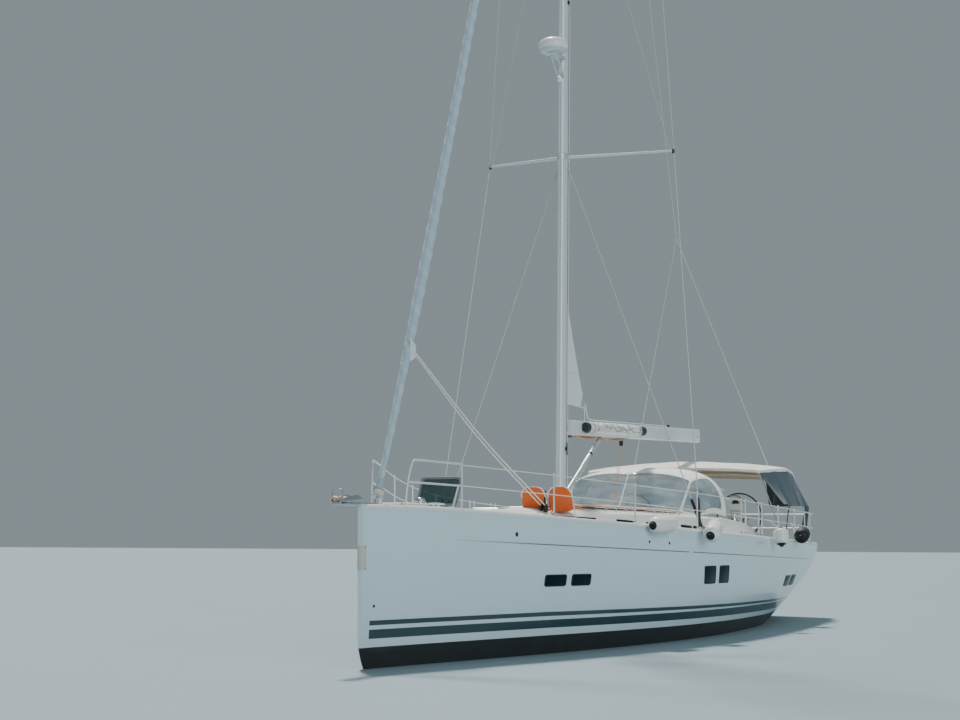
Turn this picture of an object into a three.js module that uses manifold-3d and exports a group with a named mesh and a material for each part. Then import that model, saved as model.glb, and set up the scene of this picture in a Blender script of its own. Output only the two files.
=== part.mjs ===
// Sailing yacht of 16.7 m hull length, as separate sub-components in millimetres.
// +X is forward, +Y is to port, +Z is up. The origin is amidships on the centreline, at the waterline.
// A place along the boat is first given as its distance aft of the stem head, called its station.

import * as THREE from 'three';
import Module from 'manifold-3d';
import { mergeVertices } from 'three/addons/utils/BufferGeometryUtils.js';

const wasm = await Module();
wasm.setup();

// Driving dimensions
const HULL_LENGTH = 16700;
const DRAFT = 2600;
const SEAT_GAP = 0.3;
const PIN_PLAY = 0.6;
const MOVING_GAP = 5;
const DECK_CAMBER = 0.028;

const MAST_STATION = 7260;
const MAST_RAKE = 0.024;
const MAST_REF_Z = 2000;
const MAST_HALF_DEPTH = 130;
const MAST_HALF_WIDTH = 76;
const MAST_TOP = 23400;
const HOUNDS_Z = 21300;
const LOWER_SPREADER_Z = 7920;
const UPPER_SPREADER_Z = 14450;

const RAIL_HEIGHT = 595;
const MID_RAIL_HEIGHT = 312;
const RAIL_RADIUS = 13;
const WIRE_RADIUS = 5;
const RAIL_INSET = 60;

const SHROUD_RADIUS = 8;
const CHAINPLATE_STATION = 7450;
const LOWER_CHAINPLATE_STATION = 7560;
const CHAINPLATE_INSET = 70;

// Hull lines. Columns: station, half breadth at deck, sheer height, half breadth at the turn,
// height of the turn, height of the bottom on the centreline
const HULL_LINES = [
  [0, 35, 1984, 20, 330, 250],
  [60, 55, 1985, 26, 190, 120],
  [170, 90, 1986, 34, 60, -40],
  [500, 200, 1988, 130, 0, -200],
  [1000, 375, 1984, 270, 0, -340],
  [2000, 730, 1952, 580, 0, -500],
  [4000, 1440, 1864, 1170, 0, -640],
  [6000, 2020, 1779, 1650, 0, -710],
  [8000, 2420, 1702, 1970, 0, -730],
  [10000, 2570, 1643, 2100, 0, -690],
  [12000, 2600, 1593, 2050, 0, -550],
  [14000, 2540, 1552, 1800, 0, -310],
  [15500, 2425, 1528, 1470, 0, -90],
  [HULL_LENGTH, 2300, 1510, 1150, 60, 20],
];
const HULL_STATIONS = [
  0, 60, 170, 320, 550, 1000, 1500, 2200, 3000, 4000, 5200, 6600, 8000, 9500, 11000, 12500, 14000, 15200,
  16100, HULL_LENGTH,
];
const TOPSIDE_STEPS = 5;
const BOTTOM_STEPS = 5;
const DECK_STEPS = 6;
const TOPSIDE_FLARE = 1.8;

const COLOURS = {
  hull: 0xf2f4f4,
  deck: 0xeceae4,
  keel: 0x17191b,
  steel: 0xc9cdd0,
  spar: 0xd9dcdd,
  boom: 0xf0f1f0,
  sail: 0xe7e8e6,
  strip: 0xb9c6cf,
  canvas: 0xe9e6dd,
  curtain: 0x46586a,
  glass: 0x12333a,
  orange: 0xd2570c,
  tan: 0xc08a5c,
  fender: 0xf3f3f0,
  black: 0x1a1b1c,
  teak: 0xb58d5e,
  bronze: 0xa98647,
  radar: 0xf4f4f2,
};

const group = new THREE.Group();
const aft = (station) => HULL_LENGTH / 2 - station;

function material(colour, roughness = 0.5, metalness = 0) {
  return new THREE.MeshStandardMaterial({ color: COLOURS[colour], roughness, metalness });
}

function add(name, geometry, surface) {
  const mesh = new THREE.Mesh(geometry, surface);
  mesh.name = name;
  group.add(mesh);
  return mesh;
}

// Solid helpers
function bare(geometry) {
  const plain = geometry.clone();
  plain.deleteAttribute('normal');
  plain.deleteAttribute('uv');
  return mergeVertices(plain, 1e-3);
}

function toSolid(geometry) {
  const merged = bare(geometry);
  return new wasm.Manifold(new wasm.Mesh({
    numProp: 3,
    vertProperties: new Float32Array(merged.attributes.position.array),
    triVerts: new Uint32Array(merged.index.array),
  }));
}

function fromSolid(solid) {
  const out = solid.getMesh();
  const geometry = new THREE.BufferGeometry();
  geometry.setAttribute('position', new THREE.BufferAttribute(new Float32Array(out.vertProperties), 3));
  geometry.setIndex(new THREE.BufferAttribute(new Uint32Array(out.triVerts), 1));
  return geometry;
}

function join(first, ...others) {
  return fromSolid(others.reduce((sum, next) => sum.add(toSolid(next)), toSolid(first)));
}

function cut(first, ...tools) {
  return fromSolid(tools.reduce((rest, tool) => rest.subtract(toSolid(tool)), toSolid(first)));
}

function shifted(geometry, x, y, z) {
  return geometry.clone().translate(x, y, z);
}

function mirrored(geometry) {
  const copy = bare(geometry);
  const place = copy.attributes.position;
  for (let i = 0; i < place.count; i += 1) {
    place.setY(i, -place.getY(i));
  }
  const index = copy.index.array;
  for (let i = 0; i < index.length; i += 3) {
    [index[i], index[i + 1]] = [index[i + 1], index[i]];
  }
  return copy;
}

function signedVolume(places, faces) {
  let total = 0;
  const [a, b, c] = [new THREE.Vector3(), new THREE.Vector3(), new THREE.Vector3()];
  for (let i = 0; i < faces.length; i += 3) {
    a.fromArray(places, faces[i] * 3);
    b.fromArray(places, faces[i + 1] * 3);
    c.fromArray(places, faces[i + 2] * 3);
    total += a.dot(b.cross(c)) / 6;
  }
  return total;
}

// The triangles that close a ring, wound as the ring runs or against it.
function capFaces(ring, offset, alongRing) {
  const shadows = [0, 1, 2].map((axis) => {
    const [p, q] = [(axis + 1) % 3, (axis + 2) % 3];
    return Math.abs(ring.reduce((sum, a, i) => {
      const b = ring[(i + 1) % ring.length];
      return sum + a[p] * b[q] - b[p] * a[q];
    }, 0));
  });
  const [u, v] = [0, 1, 2].filter((axis) => axis !== shadows.indexOf(Math.max(...shadows)));
  const flat = ring.map((point) => new THREE.Vector2(point[u], point[v]));
  const ringWay = THREE.ShapeUtils.isClockWise(flat);
  return THREE.ShapeUtils.triangulateShape(flat, []).flatMap(([a, b, c]) => {
    const sameWay = THREE.ShapeUtils.isClockWise([flat[a], flat[b], flat[c]]) === ringWay;
    return (sameWay === alongRing ? [a, b, c] : [c, b, a]).map((i) => i + offset);
  });
}

// A closed skin through rings of equal point counts, with flat faces over both ends.
function loft(rings) {
  const count = rings[0].length;
  const places = rings.flat(2);
  const faces = [...capFaces(rings[0], 0, false), ...capFaces(rings[rings.length - 1], (rings.length - 1) * count, true)];
  for (let r = 0; r + 1 < rings.length; r += 1) {
    for (let i = 0; i < count; i += 1) {
      const [a, b] = [r * count + i, r * count + ((i + 1) % count)];
      faces.push(a, b, b + count, a, b + count, a + count);
    }
  }
  if (signedVolume(places, faces) < 0) {
    faces.reverse();
  }
  const geometry = new THREE.BufferGeometry();
  geometry.setAttribute('position', new THREE.Float32BufferAttribute(places, 3));
  geometry.setIndex(faces);
  return geometry;
}

function box(low, high) {
  const size = high.map((v, i) => v - low[i]);
  const geometry = new THREE.BoxGeometry(...size);
  return geometry.translate(...low.map((v, i) => v + size[i] / 2));
}

// A box between two stations, from the centreline out to a half breadth, between two heights.
function well(fore, back, half, low, high) {
  return box([aft(back), -half, low], [aft(fore), half, high]);
}

function rod(start, end, radius, sides = 8, endRadius = radius) {
  const [a, b] = [new THREE.Vector3(...start), new THREE.Vector3(...end)];
  const along = b.clone().sub(a);
  const geometry = new THREE.CylinderGeometry(endRadius, radius, along.length(), sides);
  const turn = new THREE.Quaternion().setFromUnitVectors(new THREE.Vector3(0, 1, 0), along.clone().normalize());
  geometry.applyQuaternion(turn);
  const middle = a.add(b).multiplyScalar(0.5);
  return geometry.translate(middle.x, middle.y, middle.z);
}

// A round tube along a smooth curve through the points.
function bentTube(points, radius, steps, sides = 6) {
  const section = new THREE.Shape();
  for (let i = 0; i < sides; i += 1) {
    const angle = (2 * Math.PI * i) / sides;
    section[i ? 'lineTo' : 'moveTo'](radius * Math.cos(angle), radius * Math.sin(angle));
  }
  const path = new THREE.CatmullRomCurve3(points.map((p) => new THREE.Vector3(...p)), false, 'centripetal');
  return new THREE.ExtrudeGeometry(section, { steps, extrudePath: path, curveSegments: 1, bevelEnabled: false });
}

// A tapered round body through points with a radius at each.
function taperedTube(points, radii, sides = 10) {
  const at = points.map((p) => new THREE.Vector3(...p));
  const rings = at.map((centre, i) => {
    const along = at[Math.min(i + 1, at.length - 1)].clone().sub(at[Math.max(i - 1, 0)]).normalize();
    const across = new THREE.Vector3(0, 1, 0).cross(along).normalize();
    const other = along.clone().cross(across);
    return Array.from({ length: sides }, (_, k) => {
      const angle = (2 * Math.PI * k) / sides;
      const point = centre.clone().addScaledVector(across, radii[i] * Math.cos(angle));
      return point.addScaledVector(other, radii[i] * Math.sin(angle)).toArray();
    });
  });
  return loft(rings);
}

function turned(profile, sides = 16) {
  return new THREE.LatheGeometry(profile.map(([r, h]) => new THREE.Vector2(r, h)), sides).rotateX(Math.PI / 2);
}

// Hull surface: a smooth run through each column of the lines
function column(lines, index, station) {
  const rows = lines.length;
  let i = 0;
  while (i < rows - 2 && station > lines[i + 1][0]) {
    i += 1;
  }
  const slope = (k) => (lines[k + 1][index] - lines[k][index]) / (lines[k + 1][0] - lines[k][0]);
  const tangent = (k) => {
    if (k === 0) {
      return slope(0);
    }
    if (k === rows - 1) {
      return slope(rows - 2);
    }
    const [before, after] = [slope(k - 1), slope(k)];
    return before * after <= 0 ? 0 : (2 * before * after) / (before + after);
  };
  const width = lines[i + 1][0] - lines[i][0];
  const t = (station - lines[i][0]) / width;
  const [t2, t3] = [t * t, t * t * t];
  return (2 * t3 - 3 * t2 + 1) * lines[i][index] + (t3 - 2 * t2 + t) * width * tangent(i)
    + (3 * t2 - 2 * t3) * lines[i + 1][index] + (t3 - t2) * width * tangent(i + 1);
}

const halfBreadth = (station) => column(HULL_LINES, 1, station);
const sheerZ = (station) => column(HULL_LINES, 2, station);
const bottomZ = (station) => column(HULL_LINES, 5, station);

function deckZ(station, y = 0) {
  const half = halfBreadth(station);
  return sheerZ(station) + DECK_CAMBER * half * (1 - (y / half) ** 2);
}

function onDeck(station, y, lift = 0) {
  return [aft(station), y, deckZ(station, y) + lift];
}

function hullRing(station) {
  const [deckHalf, sheer, turnHalf, turn, bottom] = [1, 2, 3, 4, 5].map((c) => column(HULL_LINES, c, station));
  const side = [];
  for (let i = 0; i <= TOPSIDE_STEPS; i += 1) {
    const k = 1 - i / TOPSIDE_STEPS;
    const y = turnHalf + (deckHalf - turnHalf) * (1 - (1 - k) ** TOPSIDE_FLARE);
    side.push([y, turn + (sheer - turn) * k]);
  }
  for (let i = 1; i <= BOTTOM_STEPS; i += 1) {
    const angle = (Math.PI / 2) * (i / BOTTOM_STEPS);
    side.push([turnHalf * Math.cos(angle), turn - (turn - bottom) * Math.sin(angle)]);
  }
  side[side.length - 1][0] = 0;
  const other = side.slice(0, -1).reverse().map(([y, z]) => [-y, z]);
  const deck = [];
  for (let i = 1; i < DECK_STEPS; i += 1) {
    const y = deckHalf * ((2 * i) / DECK_STEPS - 1);
    deck.push([y, sheer + DECK_CAMBER * deckHalf * (1 - (y / deckHalf) ** 2)]);
  }
  return [...side, ...other, ...deck].map(([y, z]) => [aft(station), y, z]);
}

// Cockpit and openings. The sole heights are above the waterline.
const FOOT_WELL = { fore: 11800, back: 14150, half: 620, sole: 1000 };
const HELM_WELL = { fore: 14100, back: 16050, half: 1650, sole: 1100 };
const STERN_GATE = { fore: 16000, back: 16800, half: 380, sole: 1100 };
const COMPANIONWAY = { fore: 10500, back: 11450, half: 330, floor: 500 };
const OPEN_TOP = 2600;
const FORE_HATCH = { fore: 2290, length: 450, half: 305, open: 65 };
const LOCKER = { fore: 900, length: 620, half: 230 };
const HATCH_RIM = 45;
const HATCH_DEPTH = 420;
const FRAME_RISE = 16;

// Hinge used by the lids: a pin between two lugs, and the lid's barrel round it
const HINGE = { pin: 6, barrel: 12, lug: 12, rise: 17, web: 26, play: 0.4 };

function hingeLugs(x, z, half, base) {
  const lugs = [1, -1].map((side) => box(
    [x - HINGE.barrel, Math.min(side * half, side * (half + HINGE.lug)), base],
    [x + HINGE.barrel, Math.max(side * half, side * (half + HINGE.lug)), z + HINGE.barrel],
  ));
  return [...lugs, rod([x, -half - 2, z], [x, half + 2, z], HINGE.pin, 16)];
}

function lidWithBarrel(x, z, half, plate, web) {
  const barrel = rod([x, -half + 1, z], [x, half - 1, z], HINGE.barrel, 16);
  const bore = rod([x, -half - 5, z], [x, half + 5, z], HINGE.pin + HINGE.play, 16);
  return cut(join(plate, web, barrel), bore);
}

const hatchFrameTop = (hatch) => deckZ(hatch.fore) + FRAME_RISE;

function hatchFrame(hatch) {
  const top = hatchFrameTop(hatch);
  const rim = box(
    [aft(hatch.fore + hatch.length + HATCH_RIM), -hatch.half - HATCH_RIM, top - 90],
    [aft(hatch.fore - HATCH_RIM), hatch.half + HATCH_RIM, top],
  );
  return [rim, ...hingeLugs(aft(hatch.fore - 20), top + HINGE.rise, hatch.half * 0.6, top - 20)];
}

function hatchTrunk(hatch) {
  return well(hatch.fore + HATCH_RIM, hatch.fore + hatch.length - HATCH_RIM, hatch.half - HATCH_RIM,
    hatchFrameTop(hatch) - HATCH_DEPTH, OPEN_TOP);
}

function hatchLid(hatch, thick) {
  const top = hatchFrameTop(hatch);
  const hingeX = aft(hatch.fore - 20);
  const plate = box(
    [aft(hatch.fore + hatch.length), -hatch.half, top + MOVING_GAP],
    [hingeX - HINGE.web, hatch.half, top + MOVING_GAP + thick],
  );
  const web = box(
    [hingeX - HINGE.web - 4, -hatch.half * 0.6 + 1, top + MOVING_GAP + 2],
    [hingeX, hatch.half * 0.6 - 1, top + HINGE.rise + HINGE.barrel - 3],
  );
  const solid = lidWithBarrel(hingeX, top + HINGE.rise, hatch.half * 0.6, plate, web);
  return { solid, hinge: [hingeX, 0, top + HINGE.rise] };
}

// Rudder, keel and drive places
const RUDDER = { station: 15000, stock: 45, top: 640, foot: -2250, chord: 680, footChord: 430 };
const HULL_BORE_SIDES = 24;
const SAILDRIVE = { station: 10500, z: -1130, propStation: 10860 };
const PLATFORM = { half: 1250, low: 430, high: 1470, thick: 45 };

function buildHull() {
  let hull = loft(HULL_STATIONS.map(hullRing));
  const stockBore = rod([aft(RUDDER.station), 0, bottomZ(RUDDER.station) - 200],
    [aft(RUDDER.station), 0, RUDDER.top + 20], RUDDER.stock + 1, HULL_BORE_SIDES);
  const platformHinge = hingeLugs(0, PLATFORM.low, PLATFORM.half * 0.85, PLATFORM.low - HINGE.barrel)
    .map((piece) => shifted(piece, aft(HULL_LENGTH) - HINGE.rise, 0, 0));
  const hingeRoots = [1, -1].map((side) => box(
    [aft(HULL_LENGTH) - HINGE.rise, side > 0 ? PLATFORM.half * 0.85 : -PLATFORM.half * 0.85 - HINGE.lug,
      PLATFORM.low - HINGE.barrel],
    [aft(HULL_LENGTH) + 20, side > 0 ? PLATFORM.half * 0.85 + HINGE.lug : -PLATFORM.half * 0.85,
      PLATFORM.low + HINGE.barrel],
  ));
  hull = join(hull, ...hatchFrame(FORE_HATCH), ...hatchFrame(LOCKER), ...platformHinge, ...hingeRoots);
  return cut(
    hull,
    well(FOOT_WELL.fore, FOOT_WELL.back, FOOT_WELL.half, FOOT_WELL.sole, OPEN_TOP),
    well(HELM_WELL.fore, HELM_WELL.back, HELM_WELL.half, HELM_WELL.sole, OPEN_TOP),
    well(STERN_GATE.fore, STERN_GATE.back, STERN_GATE.half, STERN_GATE.sole, OPEN_TOP),
    well(COMPANIONWAY.fore, COMPANIONWAY.back, COMPANIONWAY.half, COMPANIONWAY.floor, OPEN_TOP),
    hatchTrunk(FORE_HATCH),
    hatchTrunk(LOCKER),
    stockBore,
  );
}

const hull = buildHull();
const hullUp = shifted(hull, 0, 0, SEAT_GAP);
const hullDown = shifted(hull, 0, 0, -SEAT_GAP);
const SIDE_GAP = 0.5;
function grown(geometry, x, y, z) {
  const steps = (v) => (v ? [0, v] : [0]);
  return steps(x).flatMap((a) => steps(y).flatMap((b) => steps(z).map((c) => shifted(geometry, a, b, c))));
}
const hullPort = grown(hull, 0, SIDE_GAP, SEAT_GAP);
const hullStbd = grown(hull, 0, -SIDE_GAP, SEAT_GAP);
add('hull', hull, material('hull', 0.25));

// Lids on the foredeck
const foreHatch = hatchLid(FORE_HATCH, 22);
const openLid = foreHatch.solid.translate(...foreHatch.hinge.map((v) => -v));
const lidMesh = add('fore_hatch_lid', openLid, material('glass', 0.15));
lidMesh.position.set(...foreHatch.hinge);
lidMesh.rotation.y = THREE.MathUtils.degToRad(FORE_HATCH.open);
add('anchor_locker_lid', hatchLid(LOCKER, 26).solid, material('deck', 0.6));

// Bathing platform, stowed upright on the transom
function buildPlatform() {
  const hingeX = aft(HULL_LENGTH) - HINGE.rise;
  const face = aft(HULL_LENGTH) - MOVING_GAP;
  const plate = box([face - PLATFORM.thick, -PLATFORM.half, PLATFORM.low + HINGE.web], [face, PLATFORM.half, PLATFORM.high]);
  const web = box([hingeX - HINGE.barrel + 2, -PLATFORM.half * 0.85 + 1, PLATFORM.low],
    [hingeX + HINGE.barrel - 2, PLATFORM.half * 0.85 - 1, PLATFORM.low + HINGE.web + 4]);
  return lidWithBarrel(hingeX, PLATFORM.low, PLATFORM.half * 0.85, plate, web);
}
add('bathing_platform', buildPlatform(), material('hull', 0.3));

// Coachroof. Columns: station, half breadth at its foot, height of its shoulder above the sheer
const COACHROOF = [
  [3700, 340, 60],
  [4400, 640, 120],
  [5400, 950, 190],
  [6600, 1240, 255],
  [8000, 1470, 300],
  [9700, 1625, 335],
  [11450, 1640, 385],
];
const ROOF_CROWN = 75;
const SLIDER = { fore: 9480, back: 10480, half: 350, thick: 30, skin: 28 };

function roofRing([station, half, height]) {
  const sheer = sheerZ(station);
  const top = sheer + height;
  const inset = Math.min(150, half * 0.4);
  const side = [
    [half, sheer - 60],
    [half - inset * 0.3, top - height * 0.35],
    [half - inset, top],
    [half * 0.5, top + ROOF_CROWN * 0.75],
  ];
  const ring = [...side, [0, top + ROOF_CROWN], ...side.slice().reverse().map(([y, z]) => [-y, z])];
  return ring.map(([y, z]) => [aft(station), y, z]);
}

const roofTopZ = (station) => sheerZ(station) + column(COACHROOF, 2, station) + ROOF_CROWN;

function buildCoachroof() {
  const shell = loft(COACHROOF.map(roofRing));
  const trackTop = roofTopZ(SLIDER.fore) - SLIDER.skin;
  const garage = well(SLIDER.fore - MOVING_GAP, COMPANIONWAY.back + 10, SLIDER.half + MOVING_GAP,
    trackTop - SLIDER.thick - MOVING_GAP, trackTop);
  return cut(shell, hullUp, garage,
    well(COMPANIONWAY.fore, COMPANIONWAY.back + 10, COMPANIONWAY.half, COMPANIONWAY.floor, OPEN_TOP));
}
const coachroof = buildCoachroof();
const roofUp = shifted(coachroof, 0, 0, SEAT_GAP);
add('coachroof', coachroof, material('deck', 0.45));

const sliderLow = roofTopZ(SLIDER.fore) - SLIDER.skin - SLIDER.thick - MOVING_GAP + PIN_PLAY;
add('companionway_slide', well(SLIDER.fore, SLIDER.back, SLIDER.half, sliderLow, sliderLow + SLIDER.thick - PIN_PLAY),
  material('glass', 0.2));

// Cockpit coamings with a winch on each. Columns: station, half breadth, top above the sheer
const COAMING = [[11460, 1590, 385], [12300, 1610, 365], [13200, 1640, 330], [14050, 1660, 250]];
const COAMING_WIDTH = 300;
const WINCHES = [12850, 13650];
const WINCH = { radius: 85, height: 170 };

function buildCoaming() {
  const rings = COAMING.map(([station, half, height]) => {
    const [low, high] = [sheerZ(station) - 40, sheerZ(station) + height];
    return [
      [half + 40, low], [half, high - 50], [half - 50, high], [half - COAMING_WIDTH + 40, high],
      [half - COAMING_WIDTH, high - 40], [half - COAMING_WIDTH - 10, low],
    ].map(([y, z]) => [aft(station), y, z]);
  });
  const winches = WINCHES.map((station) => {
    const base = sheerZ(station) + column(COAMING, 2, station) - 20;
    const y = column(COAMING, 1, station) - COAMING_WIDTH / 2;
    return rod([aft(station), y, base], [aft(station), y, base + WINCH.height], WINCH.radius, 14, WINCH.radius * 0.72);
  });
  return cut(join(loft(rings), ...winches), hullUp);
}
const coaming = buildCoaming();
add('coaming_port', coaming, material('deck', 0.45));
add('coaming_stbd', mirrored(coaming), material('deck', 0.45));

// Cockpit table
const TABLE = { fore: 12250, back: 13500, half: 170, top: 1760, base: 130 };
function buildTable() {
  const top = well(TABLE.fore, TABLE.back, TABLE.half, TABLE.top - 60, TABLE.top);
  const leaves = [1, -1].map((side) => box(
    [aft(TABLE.back), Math.min(side * TABLE.half, side * (TABLE.half - 30)), TABLE.top - 330],
    [aft(TABLE.fore), Math.max(side * TABLE.half, side * (TABLE.half - 30)), TABLE.top - 20],
  ));
  const legs = well(TABLE.fore + 200, TABLE.back - 200, TABLE.base, FOOT_WELL.sole + SEAT_GAP, TABLE.top - 30);
  return join(top, ...leaves, legs);
}
add('cockpit_table', buildTable(), material('teak', 0.6));

// Twin steering stands and wheels
const HELM = { station: 14520, y: 1120, hubZ: 2060, wheelStation: 14760, wheelRadius: 450, rim: 15, shaft: 22 };
function buildPedestal() {
  const rings = [
    [HELM.station - 60, 300, 210, HELM_WELL.sole + SEAT_GAP],
    [HELM.station - 10, 240, 170, HELM_WELL.sole + 520],
    [HELM.station + 20, 200, 190, HELM.hubZ - 120],
    [HELM.station + 10, 170, 200, HELM.hubZ + 150],
  ].map(([station, long, wide, z]) => [
    [aft(station) + long / 2, HELM.y + wide / 2, z], [aft(station) - long / 2, HELM.y + wide / 2, z],
    [aft(station) - long / 2, HELM.y - wide / 2, z], [aft(station) + long / 2, HELM.y - wide / 2, z],
  ]);
  const bore = rod([aft(HELM.station - 60), HELM.y, HELM.hubZ], [aft(HELM.wheelStation), HELM.y, HELM.hubZ],
    HELM.shaft + 1, HULL_BORE_SIDES);
  return cut(loft(rings), bore);
}
const pedestal = buildPedestal();
add('wheel_pedestal_port', pedestal, material('deck', 0.4));
add('wheel_pedestal_stbd', mirrored(pedestal), material('deck', 0.4));

function buildWheel() {
  const rim = new THREE.TorusGeometry(HELM.wheelRadius, HELM.rim, 5, 28);
  const spokes = [0, 72, 144, 216, 288].map((degrees) => {
    const angle = THREE.MathUtils.degToRad(degrees + 90);
    const reach = [HELM.wheelRadius * Math.cos(angle), HELM.wheelRadius * Math.sin(angle), 0];
    return rod([0, 0, -8], reach, 9, 5);
  });
  const hub = rod([0, 0, -30], [0, 0, 30], 55, 16);
  const shaft = rod([0, 0, 0], [0, 0, HELM.wheelStation - HELM.station + 20], HELM.shaft, HULL_BORE_SIDES);
  const wheel = join(bare(rim), ...spokes, hub, shaft);
  wheel.rotateY(Math.PI / 2);
  return wheel.translate(aft(HELM.wheelStation), HELM.y, HELM.hubZ);
}
const wheel = buildWheel();
add('helm_wheel_port', wheel, material('steel', 0.2, 0.9));
add('helm_wheel_stbd', mirrored(wheel), material('steel', 0.2, 0.9));

// Keel fin with its bulb
const KEEL = { fore: 7100, back: 9350, footFore: 7550, footBack: 9250, thick: 105, footThick: 80 };
const BULB = { fore: 7050, back: 9950, z: -DRAFT + 190, half: 260, deep: 190 };
const FOIL = [[0, 0], [0.06, 0.55], [0.2, 0.95], [0.4, 1], [0.7, 0.62], [1, 0.05]];

function foilRing(fore, back, thick, z) {
  const upper = FOIL.map(([t, w]) => [aft(fore + (back - fore) * t), thick * w, z]);
  return [...upper, ...upper.slice(1).reverse().map(([x, y]) => [x, -y, z])];
}

// Columns: share of the bulb's length, share of its full section
const BULB_SHAPE = [[0, 0.12], [0.06, 0.5], [0.18, 0.85], [0.38, 1], [0.62, 0.86], [0.85, 0.45], [1, 0.08]];
function buildBulb() {
  return loft(BULB_SHAPE.map(([t, size]) => Array.from({ length: 12 }, (_, k) => {
    const angle = (2 * Math.PI * (k + 0.5)) / 12;
    const station = BULB.fore + (BULB.back - BULB.fore) * t;
    return [aft(station), BULB.half * size * Math.cos(angle), BULB.z + BULB.deep * size * Math.sin(angle)];
  })));
}
const bulb = buildBulb();
add('keel_bulb', bulb, material('keel', 0.7));
const finBlank = loft([
  foilRing(KEEL.fore, KEEL.back, KEEL.thick, -400),
  foilRing(KEEL.footFore, KEEL.footBack, KEEL.footThick, BULB.z),
]);
add('keel_fin', cut(finBlank, hullDown, shifted(bulb, 0, 0, SEAT_GAP)), material('keel', 0.7));

// Rudder with its stock
function buildRudder() {
  const top = bottomZ(RUDDER.station) - 60;
  const lead = RUDDER.station - 170;
  const blade = loft([
    foilRing(lead, lead + RUDDER.chord, 55, top),
    foilRing(lead + 60, lead + 60 + RUDDER.footChord, 32, RUDDER.foot),
  ]);
  const stock = rod([aft(RUDDER.station), 0, top - 300], [aft(RUDDER.station), 0, RUDDER.top], RUDDER.stock,
    HULL_BORE_SIDES);
  return join(blade, stock);
}
add('rudder', buildRudder(), material('keel', 0.6));

// Saildrive leg and the three-bladed propeller
function buildSaildrive() {
  const leg = loft([
    foilRing(SAILDRIVE.station - 160, SAILDRIVE.station + 190, 70, -500),
    foilRing(SAILDRIVE.station - 120, SAILDRIVE.station + 170, 45, SAILDRIVE.z),
  ]);
  const pod = taperedTube(
    [[-230, 20], [-150, 62], [60, 75], [200, 66]].map(([s]) => [aft(SAILDRIVE.station + s), 0, SAILDRIVE.z]),
    [20, 62, 75, 66],
    12,
  );
  const shaft = rod([aft(SAILDRIVE.station + 150), 0, SAILDRIVE.z], [aft(SAILDRIVE.propStation + 80), 0, SAILDRIVE.z], 14, 16);
  return cut(join(leg, pod, shaft), hullDown);
}
add('saildrive_leg', buildSaildrive(), material('keel', 0.5));

function buildPropeller() {
  const start = SAILDRIVE.station + 200 + MOVING_GAP;
  const hub = taperedTube(
    [start, start + 60, start + 130, start + 190].map((s) => [aft(s), 0, SAILDRIVE.z]),
    [60, 58, 45, 16],
    16,
  );
  const bore = rod([aft(start - 20), 0, SAILDRIVE.z], [aft(SAILDRIVE.propStation + 88), 0, SAILDRIVE.z], 14.8, HULL_BORE_SIDES);
  const blades = [0, 120, 240].map((degrees) => {
    const blade = loft([[40, 45, 8, 50], [130, 85, 8, 35], [215, 70, 6, 25], [245, 25, 4, 20]].map(([r, half, t, pitch]) => {
      const angle = THREE.MathUtils.degToRad(pitch);
      const corner = (u, w) => [u * Math.sin(angle) + w * Math.cos(angle), u * Math.cos(angle) - w * Math.sin(angle), r];
      return [corner(half, 0), corner(0, t), corner(-half, 0), corner(0, -t)];
    }));
    blade.rotateX(THREE.MathUtils.degToRad(degrees));
    return blade.translate(aft(start + 75), 0, SAILDRIVE.z);
  });
  return cut(join(hub, ...blades), bore);
}
add('propeller', buildPropeller(), material('bronze', 0.35, 0.8));

// Mast. A point on it is found from its height and a distance aft of its centre line.
function mastPoint(z, back = 0) {
  return [aft(MAST_STATION + MAST_RAKE * (z - MAST_REF_Z) + back), 0, z];
}

// Columns: height, share of the full section
const MAST_SHAPE = [[1900, 1], [HOUNDS_Z - 2500, 1], [HOUNDS_Z, 0.86], [MAST_TOP, 0.62]];
function mastBody(grow) {
  return loft(MAST_SHAPE.map(([z, share]) => Array.from({ length: 14 }, (_, k) => {
    const angle = (2 * Math.PI * k) / 14;
    const [x, , height] = mastPoint(z);
    return [
      x + (MAST_HALF_DEPTH * share + grow) * Math.cos(angle),
      (MAST_HALF_WIDTH * share + grow) * Math.sin(angle),
      height,
    ];
  })));
}

const GOOSENECK = { z: 3420, back: MAST_HALF_DEPTH + 85, pin: 14, lugHalf: 80, lugThick: 14 };
const VANG_FOOT_Z = 2330;

function swivelLugs(z) {
  const pinTop = mastPoint(z + GOOSENECK.lugHalf, GOOSENECK.back);
  const pinLow = mastPoint(z - GOOSENECK.lugHalf, GOOSENECK.back);
  const plates = [-GOOSENECK.lugHalf, GOOSENECK.lugHalf - GOOSENECK.lugThick].map((rise) => {
    const [x] = mastPoint(z + rise, GOOSENECK.back);
    return box([x - 34, -30, z + rise], [x + 110, 30, z + rise + GOOSENECK.lugThick]);
  });
  return [...plates, rod(pinLow, pinTop, GOOSENECK.pin, 16)];
}

function buildMast() {
  const crane = box([mastPoint(MAST_TOP)[0] - 260, -30, MAST_TOP - 90], [mastPoint(MAST_TOP)[0] + 150, 30, MAST_TOP + 25]);
  const [antennaX] = mastPoint(MAST_TOP, 120);
  const antenna = rod([antennaX, 0, MAST_TOP], [antennaX, 0, MAST_TOP + 900], 9, 8, 5);
  const body = join(mastBody(0), crane, antenna, ...swivelLugs(GOOSENECK.z), ...swivelLugs(VANG_FOOT_Z));
  return cut(body, roofUp);
}
const mast = buildMast();
add('mast', mast, material('spar', 0.35, 0.6));

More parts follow.
